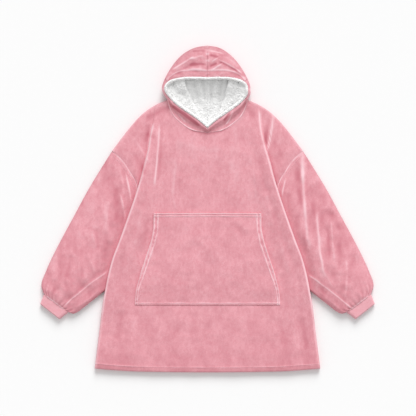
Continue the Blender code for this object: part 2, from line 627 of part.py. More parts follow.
def lining_grids(side):
    """One half of the pile lining: a rolled rim, then under the crown and along the floor."""
    read = hood_curves()
    floor = CLOTH + SEAM_GAP
    grids = []
    for knots, cloth in ((LINING_FACE, LINING_CLOTH), (LINING_BACK, 0.0)):
        rows = []
        for row in HOOD_ROWS:
            edge, edge_z = hood_section(read, row, 1, 0.0)
            low, low_z = hood_section(read, row, 1, CLOTH)
            out = np.array([float(read["out_x"](row)), float(read["out_y"](row))])
            inward = (edge - out) / np.hypot(*(edge - out))
            reach = float(read["reach"](row))
            places = {"edge": edge, "half": (edge + low) / 2, "low": low, "turn": low - inward * reach}
            levels = {"rim": edge_z, "half": (edge_z + low_z) / 2, "under": low_z - LINING_REST,
                      "floor": floor}
            points = [(places[knot.place] + inward * (knot.inward + knot.per_reach * reach),
                       levels[knot.level] + knot.rise) for knot in knots]
            start = points[-1][0]
            centre = np.array([0.0, float(read["lining_y"](row))])
            for share in FLOOR_SHARES:
                points.append((start + (centre - start) * share, floor + cloth))
            line = []
            for k, (place, z) in enumerate(points):
                x = max(place[0], 0.0) * side
                if cloth and k >= len(knots) - 1:
                    z += max(float(fold_rise(LINING_FOLDS, x, place[1])), 0.0)
                line.append((x + hood_lean(x, place[1]) + side * SEAM_GAP / 2, place[1], z))
            rows.append(line)
        grids.append(np.array(rows))
    return grids


def clear_scene():
    """An empty scene."""
    for item in list(bpy.data.objects):
        bpy.data.objects.remove(item, do_unlink=True)


def build_hoodie():
    """Every piece of the hoodie."""
    clear_scene()
    parts = bpy.data.collections.new("hoodie")
    bpy.context.scene.collection.children.link(parts)
    pink = material("pink_fleece", (0.79, 0.35, 0.41), 0.9)
    rib = material("pink_cuff", (0.78, 0.36, 0.42), 0.9)
    white = material("white_pile", (0.84, 0.83, 0.82), 1.0)

    columns, outer, inner, cells = front_grids()
    cloth_wall("front", outer, inner, pink, parts, cells=cells)
    top, under = pocket_grids(columns, outer)
    cloth_wall("pocket", top, under, pink, parts)
    top, under = back_grids()
    cloth_wall("back", top, under, pink, parts)

    for side, name in ((1, "left"), (-1, "right")):
        outer, inner = flat_tube(SLEEVE, SLEEVE_STEPS, 9, SLEEVE_FLAT, CLOTH, side,
                                 SLEEVE_FOLDS[side], bowed=True, gathered=True)
        cloth_wall("sleeve_" + name, outer, inner, pink, parts, around=True)
        outer, inner = flat_tube(CUFF, CUFF_STEPS, 5, CUFF_FLAT, CUFF_CLOTH, side, [])
        cloth_wall("cuff_" + name, outer, inner, rib, parts, around=True)
        outer, inner, cells = hood_grids(side)
        cloth_wall("hood_" + name, outer, inner, pink, parts, cells=cells)
        face, back = lining_grids(side)
        cloth_wall("hood_lining_" + name, face, back, white, parts)


build_hoodie()
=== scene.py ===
"""Looks of the oversize fleece hoodie: soft shells, seams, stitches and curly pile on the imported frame."""
from collections import namedtuple

import bpy
import bmesh
import numpy as np
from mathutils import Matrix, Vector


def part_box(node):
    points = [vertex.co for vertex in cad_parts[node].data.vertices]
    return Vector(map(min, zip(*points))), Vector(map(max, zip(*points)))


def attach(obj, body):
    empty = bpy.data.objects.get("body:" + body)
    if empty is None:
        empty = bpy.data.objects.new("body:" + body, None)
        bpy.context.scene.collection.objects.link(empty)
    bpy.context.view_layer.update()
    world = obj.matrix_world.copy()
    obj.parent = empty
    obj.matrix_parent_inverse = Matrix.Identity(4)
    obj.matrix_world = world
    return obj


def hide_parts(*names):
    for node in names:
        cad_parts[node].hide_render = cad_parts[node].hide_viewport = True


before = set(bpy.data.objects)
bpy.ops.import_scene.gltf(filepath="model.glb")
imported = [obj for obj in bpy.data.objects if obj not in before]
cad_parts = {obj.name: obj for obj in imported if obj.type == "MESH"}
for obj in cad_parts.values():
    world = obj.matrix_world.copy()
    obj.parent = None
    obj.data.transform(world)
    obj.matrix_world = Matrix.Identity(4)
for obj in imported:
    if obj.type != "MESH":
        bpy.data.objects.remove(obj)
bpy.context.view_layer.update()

CLOTH = 0.007            # fleece face with its pile lining
SEAM_GAP = 0.0003        # between touching pieces
SEAM_ROOM = 0.0003       # along curved seams
SEAM_SETBACK = 0.0013    # how far the back's edge stays inside the seams
CUFF_CLOTH = 0.0055
FRONT_UNDER = CLOTH + 0.0008     # height of the front's underside where it lies on the back
FRONT_OVER_SLEEVE = 0.0173       # and where it lies over a tucked sleeve
LINING_CLOTH = 0.006
POCKET_CLOTH = 0.006
SHARES = ("along", "nap")    # columns of the tables below that aren't lengths


def in_metres(kind, rows):
    """A table's rows of millimetres as rows of metres, with their columns named."""
    return [kind(*(value if name in SHARES else value / 1000 for name, value in zip(kind._fields, row)))
            for row in rows]


# Body: half-widths and heights at levels from the shoulder to the hem
BodyLevel = namedtuple("BodyLevel", "y fold pocket rim_top rim_under centre_top")
BODY = in_metres(BodyLevel, [
    (400, 160, 98, 16.5, 8, 16), (329, 173, 112, 17.5, 8, 16.5), (269, 179, 124, 21.5, 8.5, 17.5),
    (206, 193, 137, 26, 10, 19), (156, 208, 147, 29, 14, 19), (110, 220, 156, 31, 17.2, 18.5),
    (37, 242, 168, 31.5, 17.3, 18), (-18, 261, 178, 31.5, 17.3, 18), (-63, 277, 180, 31.5, 17.3, 18.5),
    (-110, 294, 189, 31.5, 17.3, 19), (-159, 313, 205, 31.5, 17.3, 19),
    (-218, 329, 224, 30, 17.3, 18.5), (-285, 342, 239, 26.8, 17.3, 18), (-305, 346, 240, 25, 12, 17.5),
    (-330, 349.5, 240, 22.8, 8, 17.5), (-395, 357, 240, 19.6, 7.8, 17),
    (-475, 367, 242, 18, 7.8, 16.5), (-530, 374, 244, 17, 7.8, 16.5),
])
CHEST_LEVEL = 0.070
POCKET_TOP = -0.018
POCKET_BOTTOM = -0.316
HEM_CORNER = -0.529
HEM_DROP = 0.0126
HEM_DEPTH = 0.017

OutlinePoint = namedtuple("OutlinePoint", "x y")
NECK = in_metres(OutlinePoint, [
    (0, 252.9), (30, 256.6), (64.5, 269.6), (103, 299.4), (121.5, 327.4), (133.5, 362.2),
])
SHOULDER = in_metres(OutlinePoint, [
    (133.5, 361.5), (176, 342), (206, 322), (247, 282), (279, 242), (316, 193), (350, 150),
])
ARMHOLE = in_metres(OutlinePoint, [
    (500, 400), (316, 193), (286, 163), (256, 120), (240.5, 95), (233, 70), (234.5, 30), (247, -50),
    (264, -130), (285, -200), (300, -250),
])

# Sleeve: its two edges from the armhole to the cuff, and the rise of the cloth between them
SleeveSection = namedtuple("SleeveSection", "along outer_x outer_y inner_x inner_y lift")
SLEEVE = in_metres(SleeveSection, [
    (0, 316, 193, 300, -250, 0), (0.12, 353, 134, 322, -262, 5), (0.27, 396, 63, 343, -274, 9),
    (0.42, 436, -11, 364, -290, 11), (0.57, 474, -81, 388, -309, 12), (0.72, 508, -146, 411, -327, 12),
    (0.85, 535, -205, 429, -340.5, 11), (0.95, 551, -254, 446, -347, 8),
    (1, 543.5, -280.5, 459, -343, 3),
])
SLEEVE_FLAT = 0.0165
EDGE_ROUND = 0.010
CUFF = in_metres(SleeveSection, [
    (0, 542, -282.5, 460.5, -342.4, 3), (0.1, 543.3, -285.6, 463.4, -344.7, 3),
    (0.9, 553.5, -311.7, 487.5, -363.7, 3), (1, 555, -315, 490, -366, 0),
])
CUFF_FLAT = 0.0140
UNDERSIDE_PAINTED_SHADE = -0.6     # painted shade on a tube's underside, darker so that it throws less pink light on the floor

# Hood: a row from the face opening's edge to the outline, and on to the centre line of the back
HoodRow = namedtuple("HoodRow", "edge_x edge_y out_x out_y back_y lining_y side_top crown round reach")
HOOD = in_metres(HoodRow, [
    (0, 435, 0, 541, 520, 452, 40, 10, 34, 34), (30, 436.5, 37, 535, 505, 444, 40, 10, 34, 34),
    (60, 436.5, 70, 518, 488, 436, 40, 9, 30, 32), (90, 433.5, 98, 492, 468, 426, 42, 6, 26, 24),
    (116, 427, 123, 457, 445, 416, 44, 3, 20, 6), (132.5, 415.5, 140, 424, 422, 404, 44, 0, 16, 0),
    (138.5, 401, 146.2, 401, 400, 390, 44, 0, 15, 0), (137, 385, 144, 381, 375, 375, 42, 0, 14, 0),
    (128, 370, 133.5, 363, 345, 360, 36, 0, 14, 0),
    (111, 351.5, 121.5, 328, 345, 345, 18.5, 14, 30, 0),
    (93, 336.8, 103, 300, 345, 332, 18.5, 13, 30, 0),
    (57.6, 312.4, 64.5, 270, 345, 318, 18.5, 12.5, 30, 0),
    (27, 291.2, 30, 257, 345, 304, 18.5, 11.5, 30, 0), (0, 267.6, 0, 253.3, 345, 292, 18.5, 11, 30, 0),
])
NECK_ROW = 8
HOOD_LEAN = 0.0045       # the hood's sides lean this far to the wearer's right
ROUND_SHARE = 0.45       # how much of a wide section is its rounded outline
BACK_ROUND = 0.25        # how much of the back's run turns under
BACK_FLATTEN = 0.8
CROWN_FALL = 0.4         # how much the crown falls again towards the opening
FACE_BAND = 0.019        # turned band round the face opening, at the crown
BAND_ROWS = 5.6          # how many hood rows the band's line runs down from the crown

# Lining: the places of its rolled rim and its inside, from the hood's opening inwards. Each is a distance
# inward from the hood's edge, its lower edge or the crown's far end, and a height above a level
LiningKnot = namedtuple("LiningKnot", "place inward per_reach level rise")
LINING_BACK = [
    LiningKnot("edge", 0.0003, 0.0, "rim", -0.0010),
    LiningKnot("half", 0.0003, 0.0, "half", 0.0),
    LiningKnot("low", 0.0003, 0.0, "under", 0.0),
    LiningKnot("low", 0.0003, -0.5, "under", 0.0),
    LiningKnot("turn", 0.0003, 0.0, "under", -0.0020),
    LiningKnot("turn", 0.0003, 0.0, "floor", 0.0040),
    LiningKnot("turn", 0.0043, 0.0, "floor", 0.0),
]
LINING_FACE = [
    LiningKnot("edge", 0.0012, 0.0, "rim", 0.0006),
    LiningKnot("edge", 0.0063, 0.0, "rim", 0.0030),
    LiningKnot("edge", 0.0115, 0.0, "rim", -0.0040),
    LiningKnot("low", 0.0070, -0.35, "under", -LINING_CLOTH),
    LiningKnot("turn", 0.0075, 0.0, "under", -LINING_CLOTH - 0.0015),
    LiningKnot("turn", 0.0075, 0.0, "floor", LINING_CLOTH + 0.0025),
    LiningKnot("turn", 0.0110, 0.0, "floor", LINING_CLOTH),
]
LINING_REST = 0.0008     # between the crown's underside and the lining
FLOOR_SHARES = (0.3, 0.6, 1.0)

# Soft folds: a line with a sideways bend, a rise (or a fall), a width, and how strong a painted highlight
# lies on the crest (or painted shade in the hollow)
Fold = namedtuple("Fold", "x1 y1 x2 y2 bend rise width nap")
FRONT_FOLDS = in_metres(Fold, [
    (-160, 296, -178, 70, 4, 4, 5.5, 0.85), (-151, 285, -166, 70, 3, -2.5, 6, -0.3),
    (220, 325, 194, 178, 3, 3, 5, 1.1), (206, 315, 189, 205, 0, -2.5, 7, -0.6),
    (-196, 285, -205, 215, 0, -2, 8, -0.3), (245, 270, 225, 170, 0, 1.6, 8, 0.2),
    (-140, 270, -150, 80, 0, -1.5, 14, -0.1), (-120, 230, 110, 200, -18, 1.4, 16, 0.1),
    (60, 170, 150, 20, 10, 1.8, 20, 0.1), (-120, 80, -105, -10, 0, 1.2, 8, 0.14),
    (150, 140, 162, 10, 3, 1.4, 9, 0.14), (178, 180, 190, 40, 3, -2, 12, -0.18),
    (-215, 20, -262, -180, 4, 2, 12, 0.15), (225, -20, 270, -220, -4, 2, 12, 0.15),
    (-240, -340, -265, -500, 4, 2.6, 18, 0.15), (-80, -350, -70, -500, 0, 1.8, 22, 0.1),
    (120, -345, 130, -505, 0, 2, 20, 0.1), (280, -330, 300, -500, 0, 2.6, 16, 0.15),
    (-235, 225, -190, 150, 0, 1.8, 6, 0.3), (-115, 342, -210, 298, 0, -2, 10, -0.5),
    (-120, 354, -190, 326, 0, 1.2, 7, 0.3), (-205, 250, -165, 235, 0, -1.2, 8, -0.3),
    (-245, 190, -200, 110, 0, -1.2, 10, -0.28), (215, 230, 260, 150, 0, -1.2, 12, -0.25),
    (128, 340, 160, 300, 0, -1.5, 9, -0.3), (-105, 180, -118, 40, 3, 1.2, 8, 0.22),
    (-85, 160, -95, 60, 0, -1, 10, -0.16), (195, 60, 215, -60, 0, 1.4, 9, 0.2),
    (212, 0, 248, -130, 0, -1.4, 10, -0.26), (-190, -20, -225, -160, 0, -1.4, 10, -0.22),
    (-285, -330, -300, -440, 0, -1.4, 12, -0.22), (-150, -360, -158, -440, 0, 1.2, 8, 0.2),
    (-45, -340, -52, -420, 0, -1, 10, -0.16), (60, -345, 52, -430, 0, 1, 9, 0.16),
    (235, -350, 262, -460, 0, -1.4, 12, -0.22), (310, -350, 330, -470, 0, -1.4, 10, -0.22),
])
SLEEVE_FOLDS = {
    +1: in_metres(Fold, [
        (312, 205, 335, -130, -4, 5.5, 10.5, 1.1), (298, 180, 312, 0, -3, -2.5, 11, -0.42),
        (322, -50, 324, -160, 0, -2.5, 9, -0.28), (362, 5, 386, -222, -5, 4.5, 7.5, 0.85),
        (348, 40, 360, -140, 0, -3, 9, -0.3), (408, -30, 420, -175, 0, 3.5, 6.2, 0.6),
        (396, -50, 406, -170, 0, -3.5, 6, -0.35), (459, -160, 452, -300, 6, 3.5, 6, 0.62),
        (258, 104, 241, 14, 0, 3.5, 4.5, 1.15), (268, 60, 268, -40, 0, -3, 6, -0.25),
        (488, -340, 302, -198, -5, 2, 3.6, 1.3), (476, -320, 308, -190, -5, -0.8, 6, -0.26),
        (450, -338, 360, -262, 3, 2, 5, 0.25), (385, 5, 440, -75, 6, -3, 12, -0.35),
        (432, -110, 440, -210, 0, -3, 9, -0.3), (376, -190, 420, -270, 0, 3, 8, 0.25),
        (490, -130, 500, -220, 0, 2.5, 8, 0.25),
    ]),
    -1: in_metres(Fold, [
        (-291, 140, -277, 40, 3, 3, 6, 0.42), (-291, 55, -270, -60, 3, 4, 5.5, 0.95),
        (-274, 130, -249, 0, 2, 4, 5.5, 1), (-304, 90, -303, -55, 0, -2.8, 12, -0.34),
        (-278, 10, -283, -60, 0, -3.5, 6, -0.35), (-330, 30, -336, -90, 0, 2.5, 10, 0.18),
        (-368, -60, -360, -140, 0, -3.5, 9, -0.35), (-382, -70, -366, -130, 0, 3, 7, 0.3),
        (-430, -90, -425, -210, 4, 3, 10, 0.2), (-400, -140, -370, -215, 0, 3, 8, 0.25),
        (-330, -100, -345, -180, 0, -3, 10, -0.25), (-490, -337, -300, -190, 8, 2, 3.6, 1.3),
        (-476, -316, -306, -182, 8, -0.8, 6, -0.26), (-450, -334, -350, -262, -3, 2, 5, 0.25),
        (-470, -220, -440, -290, 0, 3, 8, 0.25), (-450, -150, -470, -240, 0, -2.8, 9, -0.25),
    ]),
}
HOOD_FOLDS = in_metres(Fold, [
    (-118, 455, -38, 506, 0, 5.5, 4.5, 0.45), (-105, 442, -30, 490, 0, -3, 6, -0.25),
    (-58, 476, -4, 478, 0, -4.5, 5, -0.55), (-56, 493, -6, 510, 0, 3, 5, 0.25),
    (-52, 521, -4, 521, 0, -3, 4, -0.45), (-66, 460, -14, 463, 0, 2.5, 5, 0.2),
    (3, 523, 58, 513, 0, 4, 4, 0.45), (4, 508, 46, 498, 0, -3.5, 5, -0.45),
    (12, 485, 48, 505, 0, 4, 4, 0.4), (34, 494, 122, 446, 4, 5.5, 4.5, 0.5),
    (36, 486, 110, 450, 4, -3.5, 5, -0.45), (10, 456, 58, 484, 0, 5, 4.2, 0.5),
    (6, 470, 34, 482, 0, -3.5, 5, -0.45), (62, 505, 100, 480, 0, 2.8, 6, 0.2),
    (84, 328, 58, 276, 3, 5, 3.6, 0.5), (100, 345, 46, 292, -4, 3.5, 3.6, 0.35),
    (74, 322, 52, 290, 0, -3.5, 4, -0.5), (-122, 345, -22, 272, 2, -6, 4.5, -0.9),
    (-100, 318, -70, 286, 0, 2.5, 4, 0.25),
])
LINING_FOLDS = in_metres(Fold, [
    (-35, 460, -12, 340, 0, 3.5, 6, 0.2), (-22, 460, -8, 350, 0, -3, 5, -0.34),
    (-50, 460, -26, 330, 0, -3, 6, -0.36), (2, 470, 2, 290, 0, 3, 4, 0.2),
    (20, 460, 10, 340, 0, -3, 6, -0.36), (38, 460, 18, 340, 0, 3.5, 6, 0.2),
    (56, 460, 36, 340, 0, -4, 7, -0.5), (-108, 425, -70, 345, -3, 3.5, 8, 0),
    (112, 425, 76, 345, 3, 3.5, 8, 0),
])
# The lining's side flaps lie over its middle: each flap's edge as distances from the centre by level
FLAP_EDGES = {
    -1: in_metres(OutlinePoint, [
        (10, 270), (31, 319), (51, 360), (64, 392), (72, 430),
    ]),
    +1: in_metres(OutlinePoint, [
        (10, 270), (25, 296), (42, 333), (63, 385), (75, 435),
    ]),
}

# Finishes, as linear colours
PINK = (0.795, 0.338, 0.388)
# PINK_PALE and PINK_DEEP serve the random mottle, and also the painted highlights and painted shade
PINK_PALE = (0.935, 0.615, 0.665)
PINK_DEEP = (0.560, 0.170, 0.214)
THREAD_PINK = (0.880, 0.500, 0.560)
PILE_WHITE = (0.965, 0.962, 0.957)
FLOOR_WHITE = (0.930, 0.930, 0.930)

# The photo's frame in metres: its width and the point at its centre
VIEW_WIDTH = 1.381
VIEW_CENTRE = (0.0017, 0.0033)
LENS_MM = 200.0
SENSOR_MM = 36.0
# A soft lamp from above the hood's top and an even pale sky, with angles in degrees
KEY_STRENGTH = 2.62
KEY_SPREAD = 31
KEY_TURN = (-60, 0, -8)
SKY_STRENGTH = 0.635
SEED = 7


def curve(places, values):
    """A smooth curve through a few values, with no overshoot, as a function of place."""
    order = np.argsort(places)
    place = np.array(places, dtype=float)[order]
    value = np.array(values, dtype=float)[order]
    secant = np.diff(value) / np.diff(place)
    slope = np.gradient(value, place)
    limit = 3 * np.minimum(abs(secant[:-1]), abs(secant[1:])) * (secant[:-1] * secant[1:] > 0)
    slope[1:-1] = np.clip(slope[1:-1], -limit, limit)

    def read(where):
        where = np.clip(where, place[0], place[-1])
        i = np.clip(np.searchsorted(place, where, side="right") - 1, 0, len(place) - 2)
        step = place[i + 1] - place[i]
        t = (where - place[i]) / step
        start = (1 + 2 * t) * (1 - t) ** 2 * value[i] + t * (1 - t) ** 2 * step * slope[i]
        end = t * t * (3 - 2 * t) * value[i + 1] - t * t * (1 - t) * step * slope[i + 1]
        return start + end
    return read


def soft(t):
    """A smooth step from 0 to 1."""
    t = np.clip(t, 0.0, 1.0)
    return t * t * (3 - 2 * t)


def rounded(distance, radius):
    """The height, 0 to 1, of a quarter-round edge at a distance from it."""
    return np.sqrt(1 - (1 - np.clip(distance / radius, 0, 1)) ** 2)


def line_place(fold, x, y):
    """Where points lie on a fold: their distance aside, and its strength along its length."""
    run_x = fold.x2 - fold.x1
    run_y = fold.y2 - fold.y1
    run = np.hypot(run_x, run_y)
    t = ((x - fold.x1) * run_x + (y - fold.y1) * run_y) / run ** 2
    aside = ((y - fold.y1) * run_x - (x - fold.x1) * run_y) / run
    aside = aside - 4 * fold.bend * t * (1 - t) + 0.0012 * ripple(x, y, 0.03)
    strength = soft(t / 0.18) * soft((1 - t) / 0.18) * (0.85 + 0.3 * ripple(x + 0.9, y, 0.04))
    return aside, strength


def fold_rise(folds, x, y):
    """The height that soft folds add at points in plan."""
    total = np.zeros(np.shape(x))
    for fold in folds:
        aside, strength = line_place(fold, x, y)
        total += 0.65 * fold.rise * strength / np.cosh(np.clip(aside / fold.width, -20, 20)) ** 1.5
    return total


def fold_painted_light(folds, x, y):
    """The painted highlight on the folds' crests and painted shade in their hollows at points in plan."""
    total = np.zeros(np.shape(x))
    for fold in folds:
        aside, strength = line_place(fold, x, y)
        reach, gain = (0.55 * fold.width, 1.0) if fold.nap > 0 else (0.95 * fold.width, 1.15)
        total += gain * fold.nap * strength * np.exp(-(aside / reach) ** 2)
    return total


def line_glow(distance, width):
    """A soft line of strength 1 at distance 0."""
    return np.exp(-(distance / width) ** 2)


LATTICE = np.random.default_rng(SEED).uniform(-1, 1, (97, 97))


def ripple(x, y, size):
    """Smooth uneven waves between -1 and 1, about one size apart."""
    across, up = np.asarray(x) / size + 500.0, np.asarray(y) / size + 500.0
    i, j = np.floor(across).astype(int), np.floor(up).astype(int)
    s, t = soft(across - i), soft(up - j)
    i, j = i % 96, j % 96
    low = LATTICE[i, j] * (1 - s) + LATTICE[i + 1, j] * s
    high = LATTICE[i, j + 1] * (1 - s) + LATTICE[i + 1, j + 1] * s
    return low * (1 - t) + high * t


def uneven(x, y, amount):
    """The small unevenness of soft cloth that lies unpressed."""
    return amount * (0.6 * ripple(x, y, 0.045) + 0.3 * ripple(x + 0.3, y, 0.021)
                     + 0.16 * ripple(x, y + 0.7, 0.010))


def column_curve(table, place, value):
    """A table's column as a smooth curve over another of its columns."""
    return curve([getattr(row, place) for row in table], [getattr(row, value) for row in table])


fold_half_width, pocket_half_width, rim_top_at, rim_under_at, centre_top_at = (
    column_curve(BODY, "y", name) for name in BodyLevel._fields[1:])
neck_y = column_curve(NECK, "x", "y")
shoulder_y = column_curve(SHOULDER, "x", "y")
armhole_half_width = column_curve(ARMHOLE, "y", "x")


def between(marks, parts):
    """Each interval of marks cut in its number of parts."""
    fine = [marks[0]]
    for low, high, count in zip(marks, marks[1:], parts):
        fine.extend(np.linspace(low, high, count + 1)[1:])
    return np.array(fine)


def relief_of(grid, rounds=14, closed=False):
    """How far each point of a grid stands above the smoothed cloth, in millimetres."""
    height = grid[:, :, 2]
    smooth = height.copy()
    for _ in range(rounds):
        padded = np.pad(smooth, ((1, 1), (0, 0)), mode="edge")
        smooth = (padded[:-2] + 2 * smooth + padded[2:]) / 4
        padded = np.pad(smooth, ((0, 0), (1, 1)), mode="wrap" if closed else "edge")
        smooth = (padded[:, :-2] + 2 * smooth + padded[:, 2:]) / 4
    return (height - smooth) * 1000.0


def add_values(mesh, name, values):
    """A number for each point of a mesh, for its material to read."""
    layer = mesh.attributes.new(name, "FLOAT", "POINT")
    layer.data.foreach_set("value", np.asarray(values, dtype=np.float32).reshape(-1))


def tilt_of(grid):
    """How far each point of a grid leans towards the hood's top, 0 level to 1 upright."""
    normal = np.cross(np.gradient(grid, axis=1), np.gradient(grid, axis=0))
    normal = normal * np.where(normal[:, :, 2:] < 0, -1, 1)
    return np.clip(normal[:, :, 1] / np.maximum(np.linalg.norm(normal, axis=2), 1e-12), 0, 1)


def cloth_shell(name, outer, inner, finish, around=False, cells=None, nap=None):
    """A closed shell of cloth between an outer and an inner grid of points."""
    rows, columns = outer.shape[:2]
    across = columns if around else columns - 1
    count = rows * columns
    faces = []
    edges = {}
    for i in range(rows - 1):
        for j in range(across):
            if cells is not None and not cells[i][j]:
                continue
            right = (j + 1) % columns
            quad = (i * columns + j, i * columns + right, (i + 1) * columns + right, (i + 1) * columns + j)
            faces.append(quad)
            faces.append(tuple(count + corner for corner in reversed(quad)))
            if cells is not None or i in (0, rows - 2) or j in (0, across - 1):
                for start, end in zip(quad, quad[1:] + quad[:1]):
                    if (end, start) in edges:
                        del edges[(end, start)]
                    else:
                        edges[(start, end)] = True
    border = [edge for edge in edges if on_border(edge, rows, columns, around, cells)]
    faces.extend((end, start, count + start, count + end) for start, end in border)
    points = np.vstack([outer.reshape(-1, 3), inner.reshape(-1, 3)])
    mesh = bpy.data.meshes.new(name)
    mesh.from_pydata(points.tolist(), [], faces)
    if nap is not None:
        # The inner face takes half the values and is painted darker, as painted shade
        add_values(mesh, "nap", np.concatenate([nap, 0.5 * nap - 0.4]))
        # The outer face's tilt, for painted shade on slopes that face the lamp
        add_values(mesh, "tilt", np.concatenate([tilt_of(outer), 0 * nap]))
    turn_outwards(mesh)
    piece = as_piece(mesh, finish)
    mesh.set_sharp_from_angle(angle=np.radians(70))
    return piece


def turn_outwards(mesh):
    """Drops a closed mesh's loose points and turns its faces outwards."""
    solid = bmesh.new()
    solid.from_mesh(mesh)
    loose = [vertex for vertex in solid.verts if not vertex.link_faces]
    bmesh.ops.delete(solid, geom=loose, context="VERTS")
    bmesh.ops.recalc_face_normals(solid, faces=solid.faces)
    solid.to_mesh(mesh)
    solid.free()


def as_piece(mesh, finish):
    """A smooth, finished object in the scene, named as its mesh is."""
    mesh.shade_smooth()
    if not mesh.materials:
        mesh.materials.append(finish)
    piece = bpy.data.objects.new(mesh.name, mesh)
    bpy.context.scene.collection.objects.link(piece)
    return piece


def on_border(edge, rows, columns, around, cells):
    """True where only one cell of the grid uses an edge."""
    if cells is not None:
        return True
    (i, j), (k, m) = (divmod(corner, columns) for corner in edge)
    if i == k and i in (0, rows - 1):
        return True
    return not around and j == m and j in (0, columns - 1)


def body_x(column, y):
    """Half-width of a body column: 0 centre, 1 pocket side, 2 fold, 3 armhole seam."""
    pocket = pocket_half_width(y)
    fold = fold_half_width(y)
    seam = armhole_half_width(y) - SEAM_ROOM
    inside = np.minimum(column, 1) * pocket
    middle = np.clip(column - 1, 0, 1) * (fold - pocket)
    return inside + middle + np.maximum(column - 2, 0) * (seam - fold)


def column_top(column):
    """Where a body column meets the neck seam or the shoulder line."""
    low, high = CHEST_LEVEL, 0.40
    for _ in range(30):
        middle = (low + high) / 2
        x = body_x(column, middle)
        outline = neck_y(x) if x < NECK[-1].x else shoulder_y(x)
        if outline > middle:
            low = middle
        else:
            high = middle
    return low


YOKE_STEPS = between([0, 0.04, 0.2, 0.38, 0.56, 0.74, 0.88, 1], [6, 9, 10, 10, 10, 8, 6])
YOKE_LAST = len(YOKE_STEPS) - 1
BODY_MARKS = [CHEST_LEVEL, 0.061, 0.024, POCKET_TOP, POCKET_TOP - 0.014, -0.075, -0.115, -0.155, -0.195,
              -0.232, -0.266, -0.290, POCKET_BOTTOM, -0.350, -0.390, -0.430, -0.470, -0.505]
BODY_PARTS = [3, 9, 10, 5, 9, 8, 8, 8, 8, 8, 6, 7, 8, 9, 9, 9, 8]
BODY_LEVELS = between(BODY_MARKS, BODY_PARTS)[1:]
HEM_STEPS = np.array([0.0215, 0.0195, 0.018, 0.017, 0.016, 0.014, 0.010, 0.006, 0.003, 0.0015, 0.0005, 0])
FOLD_EDGE = 1.985        # the column at the front's side fold, just inside its round edge
HALF_COLUMNS = np.concatenate([
    between([0, 0.9, 1], [22, 6]),
    between([1, 1.9, FOLD_EDGE, 2], [26, 6, 3])[1:],
    between([2, 2.15, 2.85, 3], [5, 36, 7])[1:],
])


def side_shift(x, y):
    """How much further out the fold on the wearer's right lies at the upper chest."""
    from_fold = fold_half_width(y) + x
    near = soft((0.075 - from_fold) / 0.07) * soft((from_fold + 0.07) / 0.07)
    return 0.0072 * line_glow(y - 0.250, 0.055) * near * (x < 0)


def level_sag(level):
    """How much higher a level runs at the body's edge than at its centre."""
    return np.interp(level, [HEM_CORNER, -0.35, POCKET_TOP, CHEST_LEVEL], [HEM_DROP, 0.003, -0.005, 0])


def front_plan():
    """Signed columns across the front, with every point in plan and its distance from the hem."""
    columns = np.concatenate([-HALF_COLUMNS[:0:-1], HALF_COLUMNS])
    plan = []
    for column in columns:
        size = abs(column)
        top = column_top(size)
        run = min(size, 2) / 2
        hem = HEM_CORNER - HEM_DROP * (1 - run ** 2)
        levels = np.concatenate([
            top + (CHEST_LEVEL - top) * YOKE_STEPS,
            BODY_LEVELS - level_sag(BODY_LEVELS) * (1 - run ** 2),
            hem + HEM_STEPS,
        ])
        plan.append(np.stack([np.sign(column) * body_x(size, levels), levels], axis=1))
    plan = np.array(plan).transpose(1, 0, 2)
    return columns, plan


